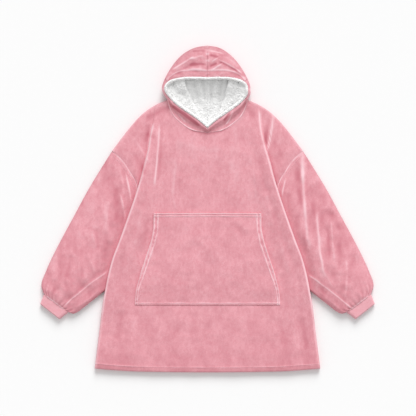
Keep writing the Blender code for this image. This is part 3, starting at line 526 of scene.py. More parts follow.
def front_grids():
    """Outer and inner points of the front panel, its pile tone and painted light, and which cells are cloth.
    """
    columns, plan = front_plan()
    x, y = plan[:, :, 0], plan[:, :, 1]
    rows = x.shape[0]
    size = np.broadcast_to(abs(columns), x.shape)
    side = np.where(x < 0, -1.0, 1.0)
    from_fold = fold_half_width(y) - abs(x)
    over_sleeve = soft((0.105 - from_fold) / 0.060)
    under = FRONT_UNDER + (rim_under_at(y) - FRONT_UNDER) * over_sleeve
    near_fold = soft((0.060 - from_fold) / 0.050)
    top = centre_top_at(y) + (rim_top_at(y) - centre_top_at(y)) * near_fold
    # Below the sleeve the front comes down slowly. Its top stays a cloth's thickness above its underside
    below_sleeve = (FRONT_OVER_SLEEVE - FRONT_UNDER) * over_sleeve * soft((y + 0.42) / 0.15) * (y < -0.20)
    held = CLOTH + np.maximum(under, FRONT_UNDER + below_sleeve)
    top = (top + held + np.hypot(top - held, 0.0030)) / 2
    top = top + fold_rise(FRONT_FOLDS, x, y) + uneven(x, y, 0.0016)

    # The fold's edge: a round roll over the sleeve, or over the lower shoulder above the chest
    row_number = np.arange(rows)[:, None]
    below_chest = soft((CHEST_LEVEL + 0.035 - y) / 0.035)
    cap_top = SLEEVE_FLAT - 0.0003 + uneven(x, y, 0.0010)
    edge_low = cap_top * (1 - below_chest) + (top + under) / 2 * below_chest
    lip = 0.0010 * np.exp(-((from_fold - 0.006) / 0.005) ** 2) * soft((0.33 - y) / 0.06)
    top = np.where(size <= 2, edge_low + (top + lip - edge_low) * rounded(from_fold, 0.0075), top)
    cap = size > 2
    crown = 0.0030 * np.sin(np.pi * np.clip(size - 2, 0, 1)) * soft(row_number / 10)
    to_seam = (3 - size) * (body_x(3.0, y) - fold_half_width(y))
    cap_height = cap_top + crown + np.maximum(fold_rise(FRONT_FOLDS, x, y), -0.002) * soft(row_number / 14)
    cap_height -= 0.0006 * (1 - rounded(to_seam, 0.005))
    top = np.where(cap, cap_height, top)
    under = np.where(cap, CLOTH + 0.0025, under)

    # The neck and shoulder edge, and the turned hem with its stitched ridge
    from_top = abs(y - y[:1])
    round_top = 0.28 * (1 - rounded(from_top, 0.005)) * (abs(x) > NECK[-1].x)
    top = under + (top - under) * (1 - round_top)
    at_neck = line_glow(from_top, 0.012) * (abs(x) <= NECK[-1].x) * (1 - neck_side(x))
    top += np.maximum(HOOD[-1].side_top + 0.0006 - top, 0) * at_neck
    from_hem = abs(y - y[-1:])
    wave = 0.0024 * ripple(x, y, 0.050)
    hem_line = line_glow(from_hem - HEM_DEPTH - wave, 0.0024) * (0.65 + 0.6 * ripple(x, y, 0.018))
    below_line = line_glow(from_hem - 0.008, 0.0045)
    top = top + 0.0009 * hem_line - 0.0007 * below_line
    top = under + (top - under) * (0.35 + 0.65 * rounded(from_hem, 0.007))
    x = x - side_shift(x, y)
    outer = np.dstack([x, y, top])

    # Painted highlights on the fold's edge, the seams, the hem's ridge and the shoulder's edge; painted shade
    # under the fold and towards the hem
    starts = np.where(x < 0, 0.288, 0.334)
    painted_edge_highlight = line_glow(from_fold - 0.0025, 0.0036) * soft((starts - y) / 0.02) * (size <= 2.0001)
    painted_shade_under_edge = np.exp(-np.maximum(-from_fold, 0) / 0.012) * cap
    beside_pocket = np.maximum(abs(x) - pocket_half_width(y), 0)
    at_pocket = (beside_pocket > 0) * (y < POCKET_TOP) * (y > POCKET_BOTTOM)
    painted_shadow_by_pocket = np.exp(-beside_pocket / 0.004) * at_pocket
    nap = 1.15 * fold_painted_light(FRONT_FOLDS, x, y) + painted_edge_highlight * (1.05 + 0.3 * ripple(x, y, 0.05)) - 0.05
    nap -= 0.50 * painted_edge_highlight * soft((-0.32 - y) / 0.05)
    nap -= 0.10 * soft((-0.44 - y) / 0.05)
    nap = nap - 0.52 * painted_shade_under_edge * soft((0.30 - y) / 0.06) + 0.50 * line_glow(to_seam, 0.0032) * cap
    # Painted shade below the hem's ridge, a painted shadow beside the pocket, and the pile's stripes with
    # painted light
    nap = nap + 0.45 * hem_line - 0.14 * below_line - 0.40 * painted_shadow_by_pocket + streaks_and_painted_falloff(x, y, 0.13)
    # A painted highlight on the hem's edge and a painted shadow under the hood's lip at the middle of the
    # neck
    nap = nap + 0.25 * line_glow(from_hem, 0.003) - 0.55 * line_glow(from_top - 0.003, 0.005) * neck_side(x)
    nap += 0.45 * line_glow(from_top - 0.001, 0.004) * (abs(x) > NECK[-1].x)
    inset = np.where((size >= 2) & (row_number >= YOKE_LAST), 0.0012, 0.0)
    inner = np.dstack([x - side * inset, y, under])
    capped = abs(columns) > 2
    cap_cell = capped[1:] | capped[:-1]
    cells = [[i < YOKE_LAST or not cap_cell[j] for j in range(len(columns) - 1)] for i in range(rows - 1)]
    return columns, outer, inner, nap, cells


def streaks_and_painted_falloff(x, y, amount):
    """The pile lying unevenly in stripes that run down the cloth, plus painted light: paler on the chest than
    at the hem.
    """
    down = ripple(x * 1.7, y * 0.6 + 3.1, 0.040) + 0.6 * ripple(x * 1.4 + 5.0, y * 0.8, 0.018)
    return amount * down + 0.22 * np.clip(y, -0.5, 0.3)


def neck_side(x):
    """1 in the middle of the neck seam, 0 at its ends."""
    return soft((0.085 - abs(x)) / 0.05)


RIDGE_RADIUS = 0.0022    # of a turned seam edge
STITCH_LIFT = 0.0002     # of a stitch line above the cloth

# The pocket's stitch lines, as distances from its edges, and its own soft folds
SIDE_LINES = (0.0030, 0.0155)
TOP_LINES = (0.0025, 0.0100)
BOTTOM_LINES = (0.0060,)
POCKET_FOLDS = in_metres(Fold, [
    (95, -40, 140, -85, 6, 2.5, 10, 0.2), (80, -45, 125, -105, 6, -2, 10, -0.2),
    (-120, -60, -60, -130, -10, 1.6, 16, 0.12), (-20, -90, 60, -230, 12, 1.6, 18, 0.12),
    (120, -160, 180, -260, 0, 1.8, 14, 0.14), (-180, -160, -150, -270, 0, 1.6, 14, 0.12),
    (-60, -200, -80, -290, 0, -1.6, 14, -0.14),
])


def pocket_grids(columns, front_outer):
    """The pocket: the front's own points between its corners, moved out, with turned edges."""
    first = YOKE_LAST + 1 + int(np.argmin(abs(BODY_LEVELS - POCKET_TOP)))
    last = YOKE_LAST + 1 + int(np.argmin(abs(BODY_LEVELS - POCKET_BOTTOM)))
    left = int(np.argmin(abs(columns + 1)))
    right = int(np.argmin(abs(columns - 1)))
    base = front_outer[first:last + 1, left:right + 1].copy()
    rows = between([0, 3, 6, base.shape[0] - 6, base.shape[0] - 3, base.shape[0] - 1],
                   [9, 5, base.shape[0] - 12, 5, 7])
    cols = between([0, 3, 8, base.shape[1] - 9, base.shape[1] - 4, base.shape[1] - 1],
                   [7, 12, base.shape[1] - 17, 12, 7])
    fine = regrid(base, rows, cols)
    under = fine + np.array([0, 0, SEAM_GAP])
    x, y = fine[:, :, 0], fine[:, :, 1]
    from_top = abs(y - y[:1])
    from_bottom = abs(y - y[-1:])
    from_side = np.minimum(abs(x - x[:, :1]), abs(x - x[:, -1:]))
    height = POCKET_CLOTH - 0.0010 + uneven(x + 0.5, y, 0.0014)
    down = np.clip((POCKET_TOP - y) / (POCKET_TOP - POCKET_BOTTOM), 0, 1)
    # The inner stitch line comes nearer to the side's edge towards the bottom
    nearer = 0.9 * soft((down - 0.55) / 0.45) * (from_side > SIDE_LINES[0])
    from_side = from_side * (1 + nearer)
    nap = fold_painted_light(POCKET_FOLDS, x, y) + streaks_and_painted_falloff(x, y, 0.13) - 0.04
    height += fold_rise(POCKET_FOLDS, x, y)
    waver = 0.0007 * ripple(x, y, 0.018)
    broken = 0.92 + 0.35 * ripple(x, y, 0.012)
    # Painted highlights on the stitched lines and the edge, painted shade between the lines
    for distance, depths, strength in ((from_side, SIDE_LINES, 0.92), (from_top, TOP_LINES, 0.85),
                                       (from_bottom, BOTTOM_LINES, 0.95)):
        for depth in depths:
            line = line_glow(distance - depth - waver, 0.0021) * broken
            height += 0.0010 * line
            nap += strength * line
        nap -= 0.25 * line_glow(distance - sum(depths) / len(depths), 0.0030)
        nap += 0.30 * line_glow(distance, 0.0020)
    band = (from_side > SIDE_LINES[0]) * (from_side < SIDE_LINES[1])
    nap += band * (0.18 + 0.5 * ripple(x, y, 0.0065))
    edge = np.minimum(np.minimum(from_top, from_bottom), from_side)
    height = height * (0.70 + 0.30 * rounded(edge, 0.0020)) * (0.36 + 0.64 * soft(from_bottom / 0.075))
    outer = under + np.dstack([np.zeros_like(x), np.zeros_like(x), height])
    return outer, under, nap


def regrid(grid, rows, cols):
    """A grid of points read at fractional rows and columns."""
    i = np.clip(np.floor(rows).astype(int), 0, grid.shape[0] - 2)
    j = np.clip(np.floor(cols).astype(int), 0, grid.shape[1] - 2)
    s = (rows - i)[:, None, None]
    t = (cols - j)[None, :, None]
    low = grid[i][:, j] * (1 - t) + grid[i][:, j + 1] * t
    high = grid[i + 1][:, j] * (1 - t) + grid[i + 1][:, j + 1] * t
    return low * (1 - s) + high * s


def back_grids():
    """The back panel, flat on the surface, with a rounded edge."""
    node_low, node_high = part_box("back")
    levels = between([0.193, 0.130, 0.070, 0.010, -0.095, -0.200, -0.250, -0.276, -0.305, -0.395,
                      HEM_CORNER], [6, 6, 5, 8, 8, 5, 4, 4, 7, 10])
    half = np.linspace(0, 1, 16)
    columns = np.concatenate([-half[:0:-1], half])
    low_side = HOOD[NECK_ROW]
    rows = []
    for step in (0, 0.05, 0.2, 0.4, 0.6, 0.8):
        row = []
        for column in columns:
            across = 0.315 * abs(column)
            neck = low_side.back_y + (low_side.out_y - low_side.back_y) * min(across / NECK[-1].x, 1)
            top = neck - SEAM_SETBACK if across <= NECK[-1].x else float(shoulder_y(across)) - 0.0005
            row.append((np.sign(column) * across, top + (levels[0] - top) * step))
        rows.append(row)
    for level in levels:
        if level >= -0.250:
            half_width = float(armhole_half_width(level)) - SEAM_SETBACK
        elif level > -0.300:
            half_width = np.interp(level, [-0.300, -0.276, -0.250], [0.344, 0.340, 0.300]) - SEAM_SETBACK
        else:
            half_width = float(fold_half_width(level)) - 0.001
        drop = HEM_DROP * soft((-0.35 - level) / (-0.35 - HEM_CORNER))
        rows.append([(column * half_width, level - drop * (1 - column ** 2)) for column in columns])
    plan = np.array(rows, dtype=float)
    height = np.full(plan.shape[:2], node_high[2])
    height[0] = height[-1] = height[:, 0] = height[:, -1] = 0.75 * node_high[2]
    return np.dstack([plan, height]), np.dstack([plan, np.full(plan.shape[:2], node_low[2])])


def armhole_bow(across):
    """How far the armhole curves inwards of the straight line between its ends."""
    first = SLEEVE[0]
    y = first.outer_y + (first.inner_y - first.outer_y) * across
    straight = first.outer_x + (first.inner_x - first.outer_x) * across
    return armhole_half_width(y) - straight


def tube_rings(table, places, middle_count, low_count, flat, cloth, side, shape):
    """Outer and inner rings of a flattened tube, and its pile tone and painted light. shape gives the top's
    rise and these values.
    """
    read = {name: column_curve(table, "along", name) for name in SleeveSection._fields[1:]}
    outer_rings, inner_rings, nap_rings = [], [], []
    edge = np.array([0, 0.05, 0.15, 0.3, 0.5, 0.75, 1.0])
    for place in places:
        start = np.array([read["outer_x"](place), read["outer_y"](place)])
        end = np.array([read["inner_x"](place), read["inner_y"](place)])
        length = np.hypot(*(end - start))
        near = EDGE_ROUND * edge / length
        middle = np.linspace(near[-1], 1 - near[-1], middle_count + 2)[1:-1]
        high = np.concatenate([near, middle, 1 - near[::-1]])
        low = np.concatenate([near[2:], np.linspace(near[-1], 1 - near[-1], low_count + 2)[1:-1],
                              1 - near[:1:-1]])[::-1]
        for inset, rings in ((0.0, outer_rings), (cloth, inner_rings)):
            parts, naps = [], []
            for layer, fraction in ((1, high), (-1, low)):
                shrunk = inset / length + fraction * (1 - 2 * inset / length)
                point = start + (end - start) * shrunk[:, None]
                if table is SLEEVE:
                    point[:, 0] += (1 - soft(place / 0.9)) * armhole_bow(shrunk)
                distance = np.minimum(fraction, 1 - fraction) * length
                roundness = rounded(distance, EDGE_ROUND)
                z = flat / 2 + layer * (flat / 2 - inset) * roundness
                nap = np.full(len(fraction), UNDERSIDE_PAINTED_SHADE)
                if layer > 0:
                    rise, nap = shape(place, fraction, point, float(read["lift"](place)), roundness, inset)
                    z += rise
                parts.append(np.stack([side * point[:, 0], point[:, 1], z], axis=1))
                naps.append(nap)
            rings.append(np.vstack(parts))
            if not inset:
                nap_rings.append(np.concatenate(naps))
    return np.array(outer_rings), np.array(inner_rings), np.array(nap_rings)


def sleeve_shape(side):
    """The rise of a sleeve's upper layer: its roundness, creases, seams and gathers at the cuff."""
    folds = SLEEVE_FOLDS[side]

    def shape(place, fraction, point, lift, roundness, inset):
        x, y = point[:, 0], point[:, 1]
        beyond = soft((x - fold_half_width(y) - 0.002) / 0.035)
        close = soft((x - fold_half_width(y) - 0.0015) / 0.012)
        creases = roundness * fold_rise(folds, side * x, y) * close * soft(place / 0.04)
        rise = lift * np.sin(np.pi * fraction) ** 0.7
        gather = np.cos(2 * np.pi * (9.5 * fraction + 0.35 * np.sin(7 * fraction)))
        gather = gather * (0.6 + 0.4 * ripple(x * 3, y, 0.03)) * soft((place - 0.86) / 0.1)
        crumple = ripple(x * 1.9, y * 0.75 + side, 0.040) + 0.5 * ripple(x * 1.6, y, 0.020)
        rise += roundness * (0.0013 * gather + 0.0008 * crumple + uneven(side * x, y, 0.0028))
        rise = np.maximum(rise * beyond * soft(place / 0.06) + creases, -0.003)
        if inset:
            return rise * 0.9, None
        seam = 0.0006 * (1 - rounded(place, 0.012)) + 0.0008 * (1 - rounded(1 - place, 0.012))
        from_body = x - fold_half_width(y)
        # Painted highlights on crease crests, gathers, the round edges and the seams' ends, painted shade in
        # the creases and beside the body; a little darker overall, the right sleeve more, and darker below
        # the underarm fold
        nap = fold_painted_light(folds, side * x, y) * close + 0.28 * gather + 0.29 * crumple * beyond
        nap = nap - 0.16 - 0.03 * (side < 0)
        nap += 0.40 * np.exp(-roundness / 0.35) * soft((place - 0.02) / 0.05)
        nap -= 0.42 * np.exp(-np.maximum(from_body, 0) / 0.010) * soft((0.2 - y) / 0.05)
        nap = nap + 0.30 * line_glow(place, 0.010) + 0.55 * line_glow(1 - place, 0.012)
        turned_under = soft((-0.198 - 0.763 * (abs(x) - 0.302) - y) / 0.010)
        nap -= 0.24 * turned_under
        return rise - seam * roundness, nap
    return shape


def cuff_shape(place, fraction, point, lift, roundness, inset):
    """The rise of a cuff's upper layer: soft, with rounded ends."""
    rise = lift + roundness * uneven(point[:, 0], point[:, 1], 0.0012)
    ends = 1 - rounded(place, 0.10) + 1 - rounded(1 - place, 0.12)
    if inset:
        return rise - 0.0005, None
    nap = 0.12 + 0.10 * line_glow(1 - place, 0.08) + 0.10 * ripple(point[:, 0], point[:, 1], 0.008)
    return rise - 0.0006 * ends * roundness, nap


HOOD_CURVES = {name: curve(range(len(HOOD)), [getattr(row, name) for row in HOOD])
               for name in HoodRow._fields}


def hood_row(row):
    """The hood's table read at a fractional row."""
    return {name: float(HOOD_CURVES[name](row)) for name in HoodRow._fields}


def hood_section(row, facts, step, inset):
    """A point of the outer hood: step runs 1 at the opening, 0 at the outline and to -1 at the back."""
    edge = np.array([facts["edge_x"], facts["edge_y"]])
    out = np.array([facts["out_x"], facts["out_y"]])
    width = np.hypot(*(edge - out))
    inward = (edge - out) / width
    top = facts["side_top"]
    if row > NECK_ROW:
        s = width * max(step, 0)
        z = top + facts["crown"] * float(soft((step - 0.30) / 0.45)) - inset
        return out + inward * s, z
    middle = top / 2
    radius = facts["round"]
    if step >= 0:
        share = width / radius
        last_angle = np.arccos(max(1 - share, 0.0))
        turn = min(step / ROUND_SHARE, 1.0) if share > 1 else step
        angle = turn * last_angle
        s = radius * (1 - np.cos(angle))
        if share > 1 and step > ROUND_SHARE:
            s = radius + (width - radius) * (step - ROUND_SHARE) / (1 - ROUND_SHARE)
        shrink = inset + (1 - inset / radius) * min(s, radius) + max(s - radius, 0.0)
        z = middle + (middle - inset) * np.sin(angle)
        z += facts["crown"] * (1 - CROWN_FALL * step ** 2) * np.sin(0.5 * np.pi * min(s / radius, 1))
        return out + inward * shrink, z
    centre = np.array([0.0, facts["back_y"]])
    depth = np.hypot(*(centre - out))
    turn = min(-step / BACK_ROUND, 1.0)
    s = radius * (1 - np.cos(turn * 0.5 * np.pi)) * BACK_FLATTEN
    shrink = inset + (1 - inset / radius) * s
    z = middle - (middle - inset) * np.sin(turn * 0.5 * np.pi)
    if -step > BACK_ROUND:
        share = (-step - BACK_ROUND) / (1 - BACK_ROUND)
        shrink = shrink + (depth - shrink) * share
    toward = (centre - out) / depth
    return out + toward * shrink, z


HOOD_STEPS = between([1, 0.94, 0.7, 0.46, 0.2, 0, -0.12, -0.25, -1], [6, 16, 16, 12, 8, 4, 4, 10])
HOOD_ROWS = np.concatenate([between([0, 4, 8], [36, 34]), between([8, 9, 13], [12, 44])[1:]])


def hood_lean(x, y):
    """How far a point of the hood leans to the wearer's right, more at the sides than at the centre."""
    return -HOOD_LEAN * soft(abs(x) / 0.09) * soft((y - 0.366) / 0.035)


def hood_grids(side):
    """One half of the outer hood: over the crown, round the outline and under to the centre seam."""
    grids = []
    nap = None
    for inset in (0.0, CLOTH):
        rows = []
        for row in HOOD_ROWS:
            facts = hood_row(row)
            width = np.hypot(facts["edge_x"] - facts["out_x"], facts["edge_y"] - facts["out_y"])
            line = []
            for step in HOOD_STEPS:
                (x, y), z = hood_section(row, facts, step, inset)
                line.append((max(x, 0.0), y, z, step, (1 - step) * width))
            rows.append(line)
        grid = np.array(rows)
        x, y, z, step, from_edge = (grid[:, :, k] for k in range(5))
        row = HOOD_ROWS[:, None]
        x = side * x
        above_neck = row <= NECK_ROW
        gain = 1.0 if inset == 0 else 0.6
        above = soft(step / 0.25)
        z += 0.35 * gain * fold_rise(HOOD_FOLDS, x, y) * above
        if inset == 0:
            z += np.where((step > 0.05) & above_neck, uneven(x, y, 0.0022) * soft(step / 0.3), 0)
            band = FACE_BAND * width_share(row) + 0.0010 * ripple(x, y, 0.02)
            on_crown = soft(BAND_ROWS - row) * (step > 0.3)
            band_line = line_glow(from_edge - band, 0.0026) * on_crown
            under_band = line_glow(from_edge - band + 0.0045, 0.0030) * on_crown
            z = z + 0.0004 * band_line - 0.0003 * under_band
            z -= 0.0012 * (1 - rounded(from_edge, 0.004)) * (step > 0)
            pucker = ripple(x * 0.4, y, 0.007) * line_glow(x, 0.007)
            z += 0.0004 * pucker * (step > 0.05) * (row < 4)
            lower = soft((row - NECK_ROW) / 0.8)
            ridge = line_glow(from_edge - 0.0135, 0.0032) * lower
            z -= 0.0010 * ridge
            to_seam = np.maximum(step, 0) * from_edge.max(axis=1, keepdims=True)
            lip = line_glow(to_seam - 0.0022, 0.0026) * lower
            z += 0.0012 * lip
            slope = np.gradient(z, axis=1) / np.maximum(abs(np.gradient(y, axis=1)), 0.0004)
            slope = np.clip(slope * np.sign(np.gradient(y, axis=1)), -1, 1) * (step > 0.02)
            wrinkle = ripple(x * 0.45 + 2.0, y * 1.3 - 0.2 * abs(x), 0.011) * above_neck * soft(step / 0.3)
            z += 0.0006 * wrinkle
            # Painted light: highlights on wrinkle crests, the outline, the band's line, the centre seam and
            # its puckers and the neck's lip; painted shade in the hollows, under the band, in the neck's
            # groove and on the turned-under back; paler on slopes that face away from the lamp
            nap = 2.3 * fold_painted_light(HOOD_FOLDS, x, y) * above + 0.15 * ripple(x * 1.5, y, 0.018)
            nap = nap + 0.30 * wrinkle + np.clip(0.6 * slope, -0.05, 0.35) * above_neck + 0.05 * above_neck
            nap -= 0.7 * soft(-step / 0.1)
            nap += 0.35 * line_glow(np.maximum(step, 0), 0.05) * above_neck
            nap = nap + (0.78 + 0.4 * ripple(x, y, 0.02)) * band_line - 0.30 * under_band
            nap += (0.30 * line_glow(abs(x) - 0.004, 0.003) + 0.8 * pucker) * (step > 0.05) * (row < 4)
            nap += (0.22 * line_glow(from_edge - 0.003, 0.005) + 0.60 * lip - 0.25 * ridge) * lower
        x = x + hood_lean(x, y)
        grids.append(np.dstack([x + side * SEAM_GAP / 2, y, z]))
    band = int(np.argmin(abs(HOOD_STEPS)))
    cells = [[HOOD_ROWS[i + 1] <= NECK_ROW or j < band for j in range(len(HOOD_STEPS) - 1)]
             for i in range(len(HOOD_ROWS) - 1)]
    return grids[0], grids[1], nap, cells


def width_share(row):
    """How wide the turned band is at a hood row, as a share of its width at the crown."""
    return 1 - 0.5 * soft((row - 3.0) / 2.5)


def lining_grids(side):
    """One half of the pile lining: a rolled rim, then under the crown and along the floor."""
    floor = CLOTH + SEAM_GAP
    steps = between([0, 1, 2, 3, 4, 5, 6, 9], [4, 5, 4, 3, 3, 4, 34])
    grids = []
    for knots, cloth in ((LINING_FACE, LINING_CLOTH), (LINING_BACK, 0.0)):
        rows = []
        for row in HOOD_ROWS:
            facts = hood_row(row)
            edge, edge_z = hood_section(row, facts, 1, 0.0)
            low, low_z = hood_section(row, facts, 1, CLOTH)
            out = np.array([facts["out_x"], facts["out_y"]])
            inward = (edge - out) / np.hypot(*(edge - out))
            reach = facts["reach"]
            places = {"edge": edge, "half": (edge + low) / 2, "low": low, "turn": low - inward * reach}
            levels = {"rim": edge_z, "half": (edge_z + low_z) / 2, "under": low_z - LINING_REST,
                      "floor": floor}
            thin = {"edge": 1 - 0.28 * float(soft((4.5 - row) / 1.5))}
            points = [(*(places[knot.place] + inward * (knot.inward * thin.get(knot.place, 1.0)
                                                        + knot.per_reach * reach)),
                       levels[knot.level] + knot.rise) for knot in knots]
            start = np.array(points[-1][:2])
            run = np.array([0.0, facts["lining_y"]]) - start
            points.extend((*(start + run * share), floor + cloth) for share in FLOOR_SHARES)
            points = np.array(points)
            order = range(len(points))
            rows.append(np.stack([curve(order, points[:, axis])(steps) for axis in range(3)], axis=1))
        grids.append(np.array(rows))
    face, back = grids
    on_floor = soft((steps - 5.5) / 1.0)[None, :]
    for grid in (face, back):
        grid[:, :, 0] = side * np.maximum(grid[:, :, 0], 0) + side * SEAM_GAP / 2
    x, y = face[:, :, 0], face[:, :, 1]
    flap_x = column_curve(FLAP_EDGES[side], "y", "x")(y)
    beside = abs(x) - flap_x - 0.0015 * ripple(x, y, 0.025)
    over = soft((beside + 0.0018) / 0.0036) * soft((0.445 - y) / 0.02)
    # Painted shadow beside the flaps' edges, deeper towards the top
    shade = line_glow(np.minimum(beside + 0.001, 0), 0.007) * (1 - over) * soft((y - 0.300) / 0.05)
    shade = shade * (0.75 + 0.6 * soft((y - 0.375) / 0.04))
    flap_rise = over * (0.0065 + 0.0030 * line_glow(beside - 0.008, 0.010)) * soft((y - 0.268) / 0.02)
    rise = 1.3 * fold_rise(LINING_FOLDS, x, y) + uneven(x, y, 0.0035) + flap_rise
    face[:, :, 2] += on_floor * np.maximum(rise, -0.002)
    # The lining slopes up to the rim at the sides and to the dome at the top, with no dark gap below them
    inside = soft((steps - 3.0) / 1.5)[None, :]
    for slope, share, where in ((0.018, soft((abs(x) - 0.078) / 0.050), (abs(x) > 0.078) * (y > 0.345)),
                                (0.015, soft((y - 0.362) / 0.060), (abs(x) <= 0.105) * (y > 0.362))):
        ground = (floor + LINING_CLOTH + slope * share + rise) * inside * where
        face[:, :, 2] = np.maximum(face[:, :, 2], ground)
    face[:, :, 2] += 0.0008 * ripple(x, y, 0.009)
    # Painted light: paler raised flaps; painted shade in the fold hollows, towards the top under the crown
    # and beside the paler centre line
    nap = 0.25 * over * on_floor - (0.50 + 0.22 * (side > 0)) * shade * on_floor
    nap = nap - 0.05 * soft((y - 0.400) / 0.035) * on_floor * (1 - 0.6 * over) + 0.25 * (1 - on_floor)
    nap += fold_painted_light(LINING_FOLDS, x, y) * on_floor * soft((y - 0.32) / 0.05)
    nap += (0.35 * line_glow(x, 0.004) - 0.25 * line_glow(abs(x) - 0.008, 0.003)) * on_floor
    for grid in (face, back):
        grid[:, :, 0] += hood_lean(grid[:, :, 0], grid[:, :, 1])
    return face, back, nap


def add_node(tree, kind, inputs, **settings):
    """Adds a node to a tree, sets or links its inputs, and gives its outputs."""
    made = tree.nodes.new(kind)
    for name, value in settings.items():
        setattr(made, name, value)
    for name, value in inputs.items():
        if isinstance(value, bpy.types.NodeSocket):
            tree.links.new(value, made.inputs[name])
        else:
            made.inputs[name].default_value = value
    return made.outputs


def noise(tree, place, scale, detail=2.0, roughness=0.55):
    """A noise texture at a place."""
    return add_node(tree, "ShaderNodeTexNoise", {
        "Vector": place, "Scale": scale, "Detail": detail, "Roughness": roughness})["Fac"]


def ramp(tree, value, low, high, low_out=0.0, high_out=1.0):
    """A value mapped from one range to another."""
    return add_node(tree, "ShaderNodeMapRange", {
        "Value": value, "From Min": low, "From Max": high, "To Min": low_out, "To Max": high_out})["Result"]


def mixed(tree, share, first, second):
    """Two colours mixed by a share. Each is a colour or a socket."""
    first, second = ((*colour, 1.0) if isinstance(colour, tuple) else colour for colour in (first, second))
    return add_node(tree, "ShaderNodeMix", {"Factor": share, "A": first, "B": second},
                    data_type="RGBA")["Result"]


def bump(tree, height, distance, strength, **below):
    """A bump from a height, on top of another bump where Normal names one."""
    return add_node(tree, "ShaderNodeBump", {
        "Height": height, "Distance": distance, "Strength": strength, **below})["Normal"]


def value_at(tree, name):
    """A number that each point holds: its pile tone and painted light, its tilt or its place across the ribs.
    """
    return add_node(tree, "ShaderNodeAttribute", {}, attribute_name=name)["Fac"]


def start_material(name):
    """A new material, its node tree and its place on Object coordinates."""
    made = bpy.data.materials.new(name)
    made.use_nodes = True
    return made, made.node_tree, add_node(made.node_tree, "ShaderNodeTexCoord", {})["Object"]


def end_material(made, colour, roughness, specular=None, normal=None, sheen=None):
    """Sets the shader: its colour and bump, and for sheen its weight, roughness and tint."""
    links, shader = made.node_tree.links, made.node_tree.nodes["Principled BSDF"]
    links.new(colour, shader.inputs["Base Color"])
    shader.inputs["Roughness"].default_value = roughness
    if specular is not None:
        shader.inputs["Specular IOR Level"].default_value = specular
    if normal is not None:
        links.new(normal, shader.inputs["Normal"])
    if sheen is not None:
        for name, value in zip(("Sheen Weight", "Sheen Roughness", "Sheen Tint"), sheen):
            shader.inputs[name].default_value = value
    return made


def fleece_material():
    """Brushed pink fleece: a mottled pile, with painted highlights on ridges and painted shade in hollows."""
    made, tree, place = start_material("pink_fleece")
    down = add_node(tree, "ShaderNodeVectorMath", {0: place, 1: (1.3, 0.75, 1.0)}, operation="MULTIPLY")
    down = down["Vector"]
    colour = PINK
    for where, size, low, tone, most, roughness in (
            (place, 330, 0.38, PINK_PALE, 0.36, 0.7), (down, 90, 0.42, PINK_DEEP, 0.24, 0.7),
            (down, 28, 0.42, PINK_DEEP, 0.20, 0.65)):
        mottle = ramp(tree, noise(tree, where, size, 4.0, roughness), low, 0.62)
        colour = mixed(tree, ramp(tree, mottle, 0, 1, 0.0, most), colour, tone)
    lie_and_painted_light = value_at(tree, "nap")
    # Painted highlights where the values rise above zero, painted shade where they fall below
    colour = mixed(tree, ramp(tree, lie_and_painted_light, 0.03, 1.0), colour, PINK_PALE)
    colour = mixed(tree, ramp(tree, lie_and_painted_light, -0.03, -1.0), colour, PINK_DEEP)
    # Slopes that lean to the hood's top face the lamp, so painted shade darkens them against its glare
    shade = ramp(tree, value_at(tree, "tilt"), 0.05, 1.0, 0.0, 0.42)
    colour = mixed(tree, shade, colour, (0.0, 0.0, 0.0))
    coarse = bump(tree, noise(tree, down, 90, 3.0), 0.0012, 0.25)
    fine = bump(tree, noise(tree, place, 420, 3.0), 0.0008, 0.55, Normal=coarse)
    return end_material(made, colour, 0.92, 0.15, fine, (0.12, 0.45, (1.0, 0.62, 0.68, 1.0)))


def cuff_material():
    """Fine pink knit: narrow ribs along the cuff with painted shade between them, under the same soft pile.
    """
    made, tree, place = start_material("pink_cuff_knit")
    wave = add_node(tree, "ShaderNodeMath", {0: value_at(tree, "across")}, operation="SINE")["Value"]
    nap = ramp(tree, noise(tree, place, 300, 3.0), 0.35, 0.65)
    colour = mixed(tree, ramp(tree, nap, 0, 1, 0.05, 0.40), PINK, PINK_PALE)
    # Painted shade in the ribs' troughs
    colour = mixed(tree, ramp(tree, wave, 0.2, -1, 0.0, 0.12), colour, PINK_DEEP)
    colour = mixed(tree, ramp(tree, value_at(tree, "nap"), 0.03, 1.0), colour, PINK_PALE)
    ribs = bump(tree, wave, 0.0006, 0.35)
    fine = bump(tree, noise(tree, place, 500), 0.0005, 0.3, Normal=ribs)
    return end_material(made, colour, 0.9, 0.15, fine, (0.3, 0.45, (1.0, 0.85, 0.88, 1.0)))


def pile_material():
    """White curly pile: warm white, darker in random patches as painted shade between the curls, and painted
    shade in the hollows.
    """
    made, tree, place = start_material("white_pile")
    shade, deep = (tuple(part * channel for channel in PILE_WHITE) for part in (0.90, 0.74))
    colour = mixed(tree, ramp(tree, noise(tree, place, 190, 3.0), 0.35, 0.62), shade, PILE_WHITE)
    # Painted shade in the hollows and beside the lining's flaps
    colour = mixed(tree, ramp(tree, value_at(tree, "nap"), -0.03, -1.0), colour, deep)
    coarse = bump(tree, noise(tree, place, 150, 3.0), 0.003, 0.7)
    fine = bump(tree, noise(tree, place, 520), 0.001, 0.7, Normal=coarse)
    return end_material(made, colour, 0.95, 0.1, fine, (0.3, 0.5))


def thread_material():
    """Matt pink sewing thread."""
    made, tree, place = start_material("pink_thread")
    twist = ramp(tree, noise(tree, place, 900, 1.0), 0.35, 0.65)
    return end_material(made, mixed(tree, twist, THREAD_PINK, PINK_PALE), 0.7)


def floor_material():
    """Pale matt studio floor."""
    made, tree, place = start_material("studio_floor")
    speck = ramp(tree, noise(tree, place, 60), 0.3, 0.7)
    darker = tuple(0.995 * channel for channel in FLOOR_WHITE)
    return end_material(made, mixed(tree, speck, darker, FLOOR_WHITE), 0.9, 0.1)


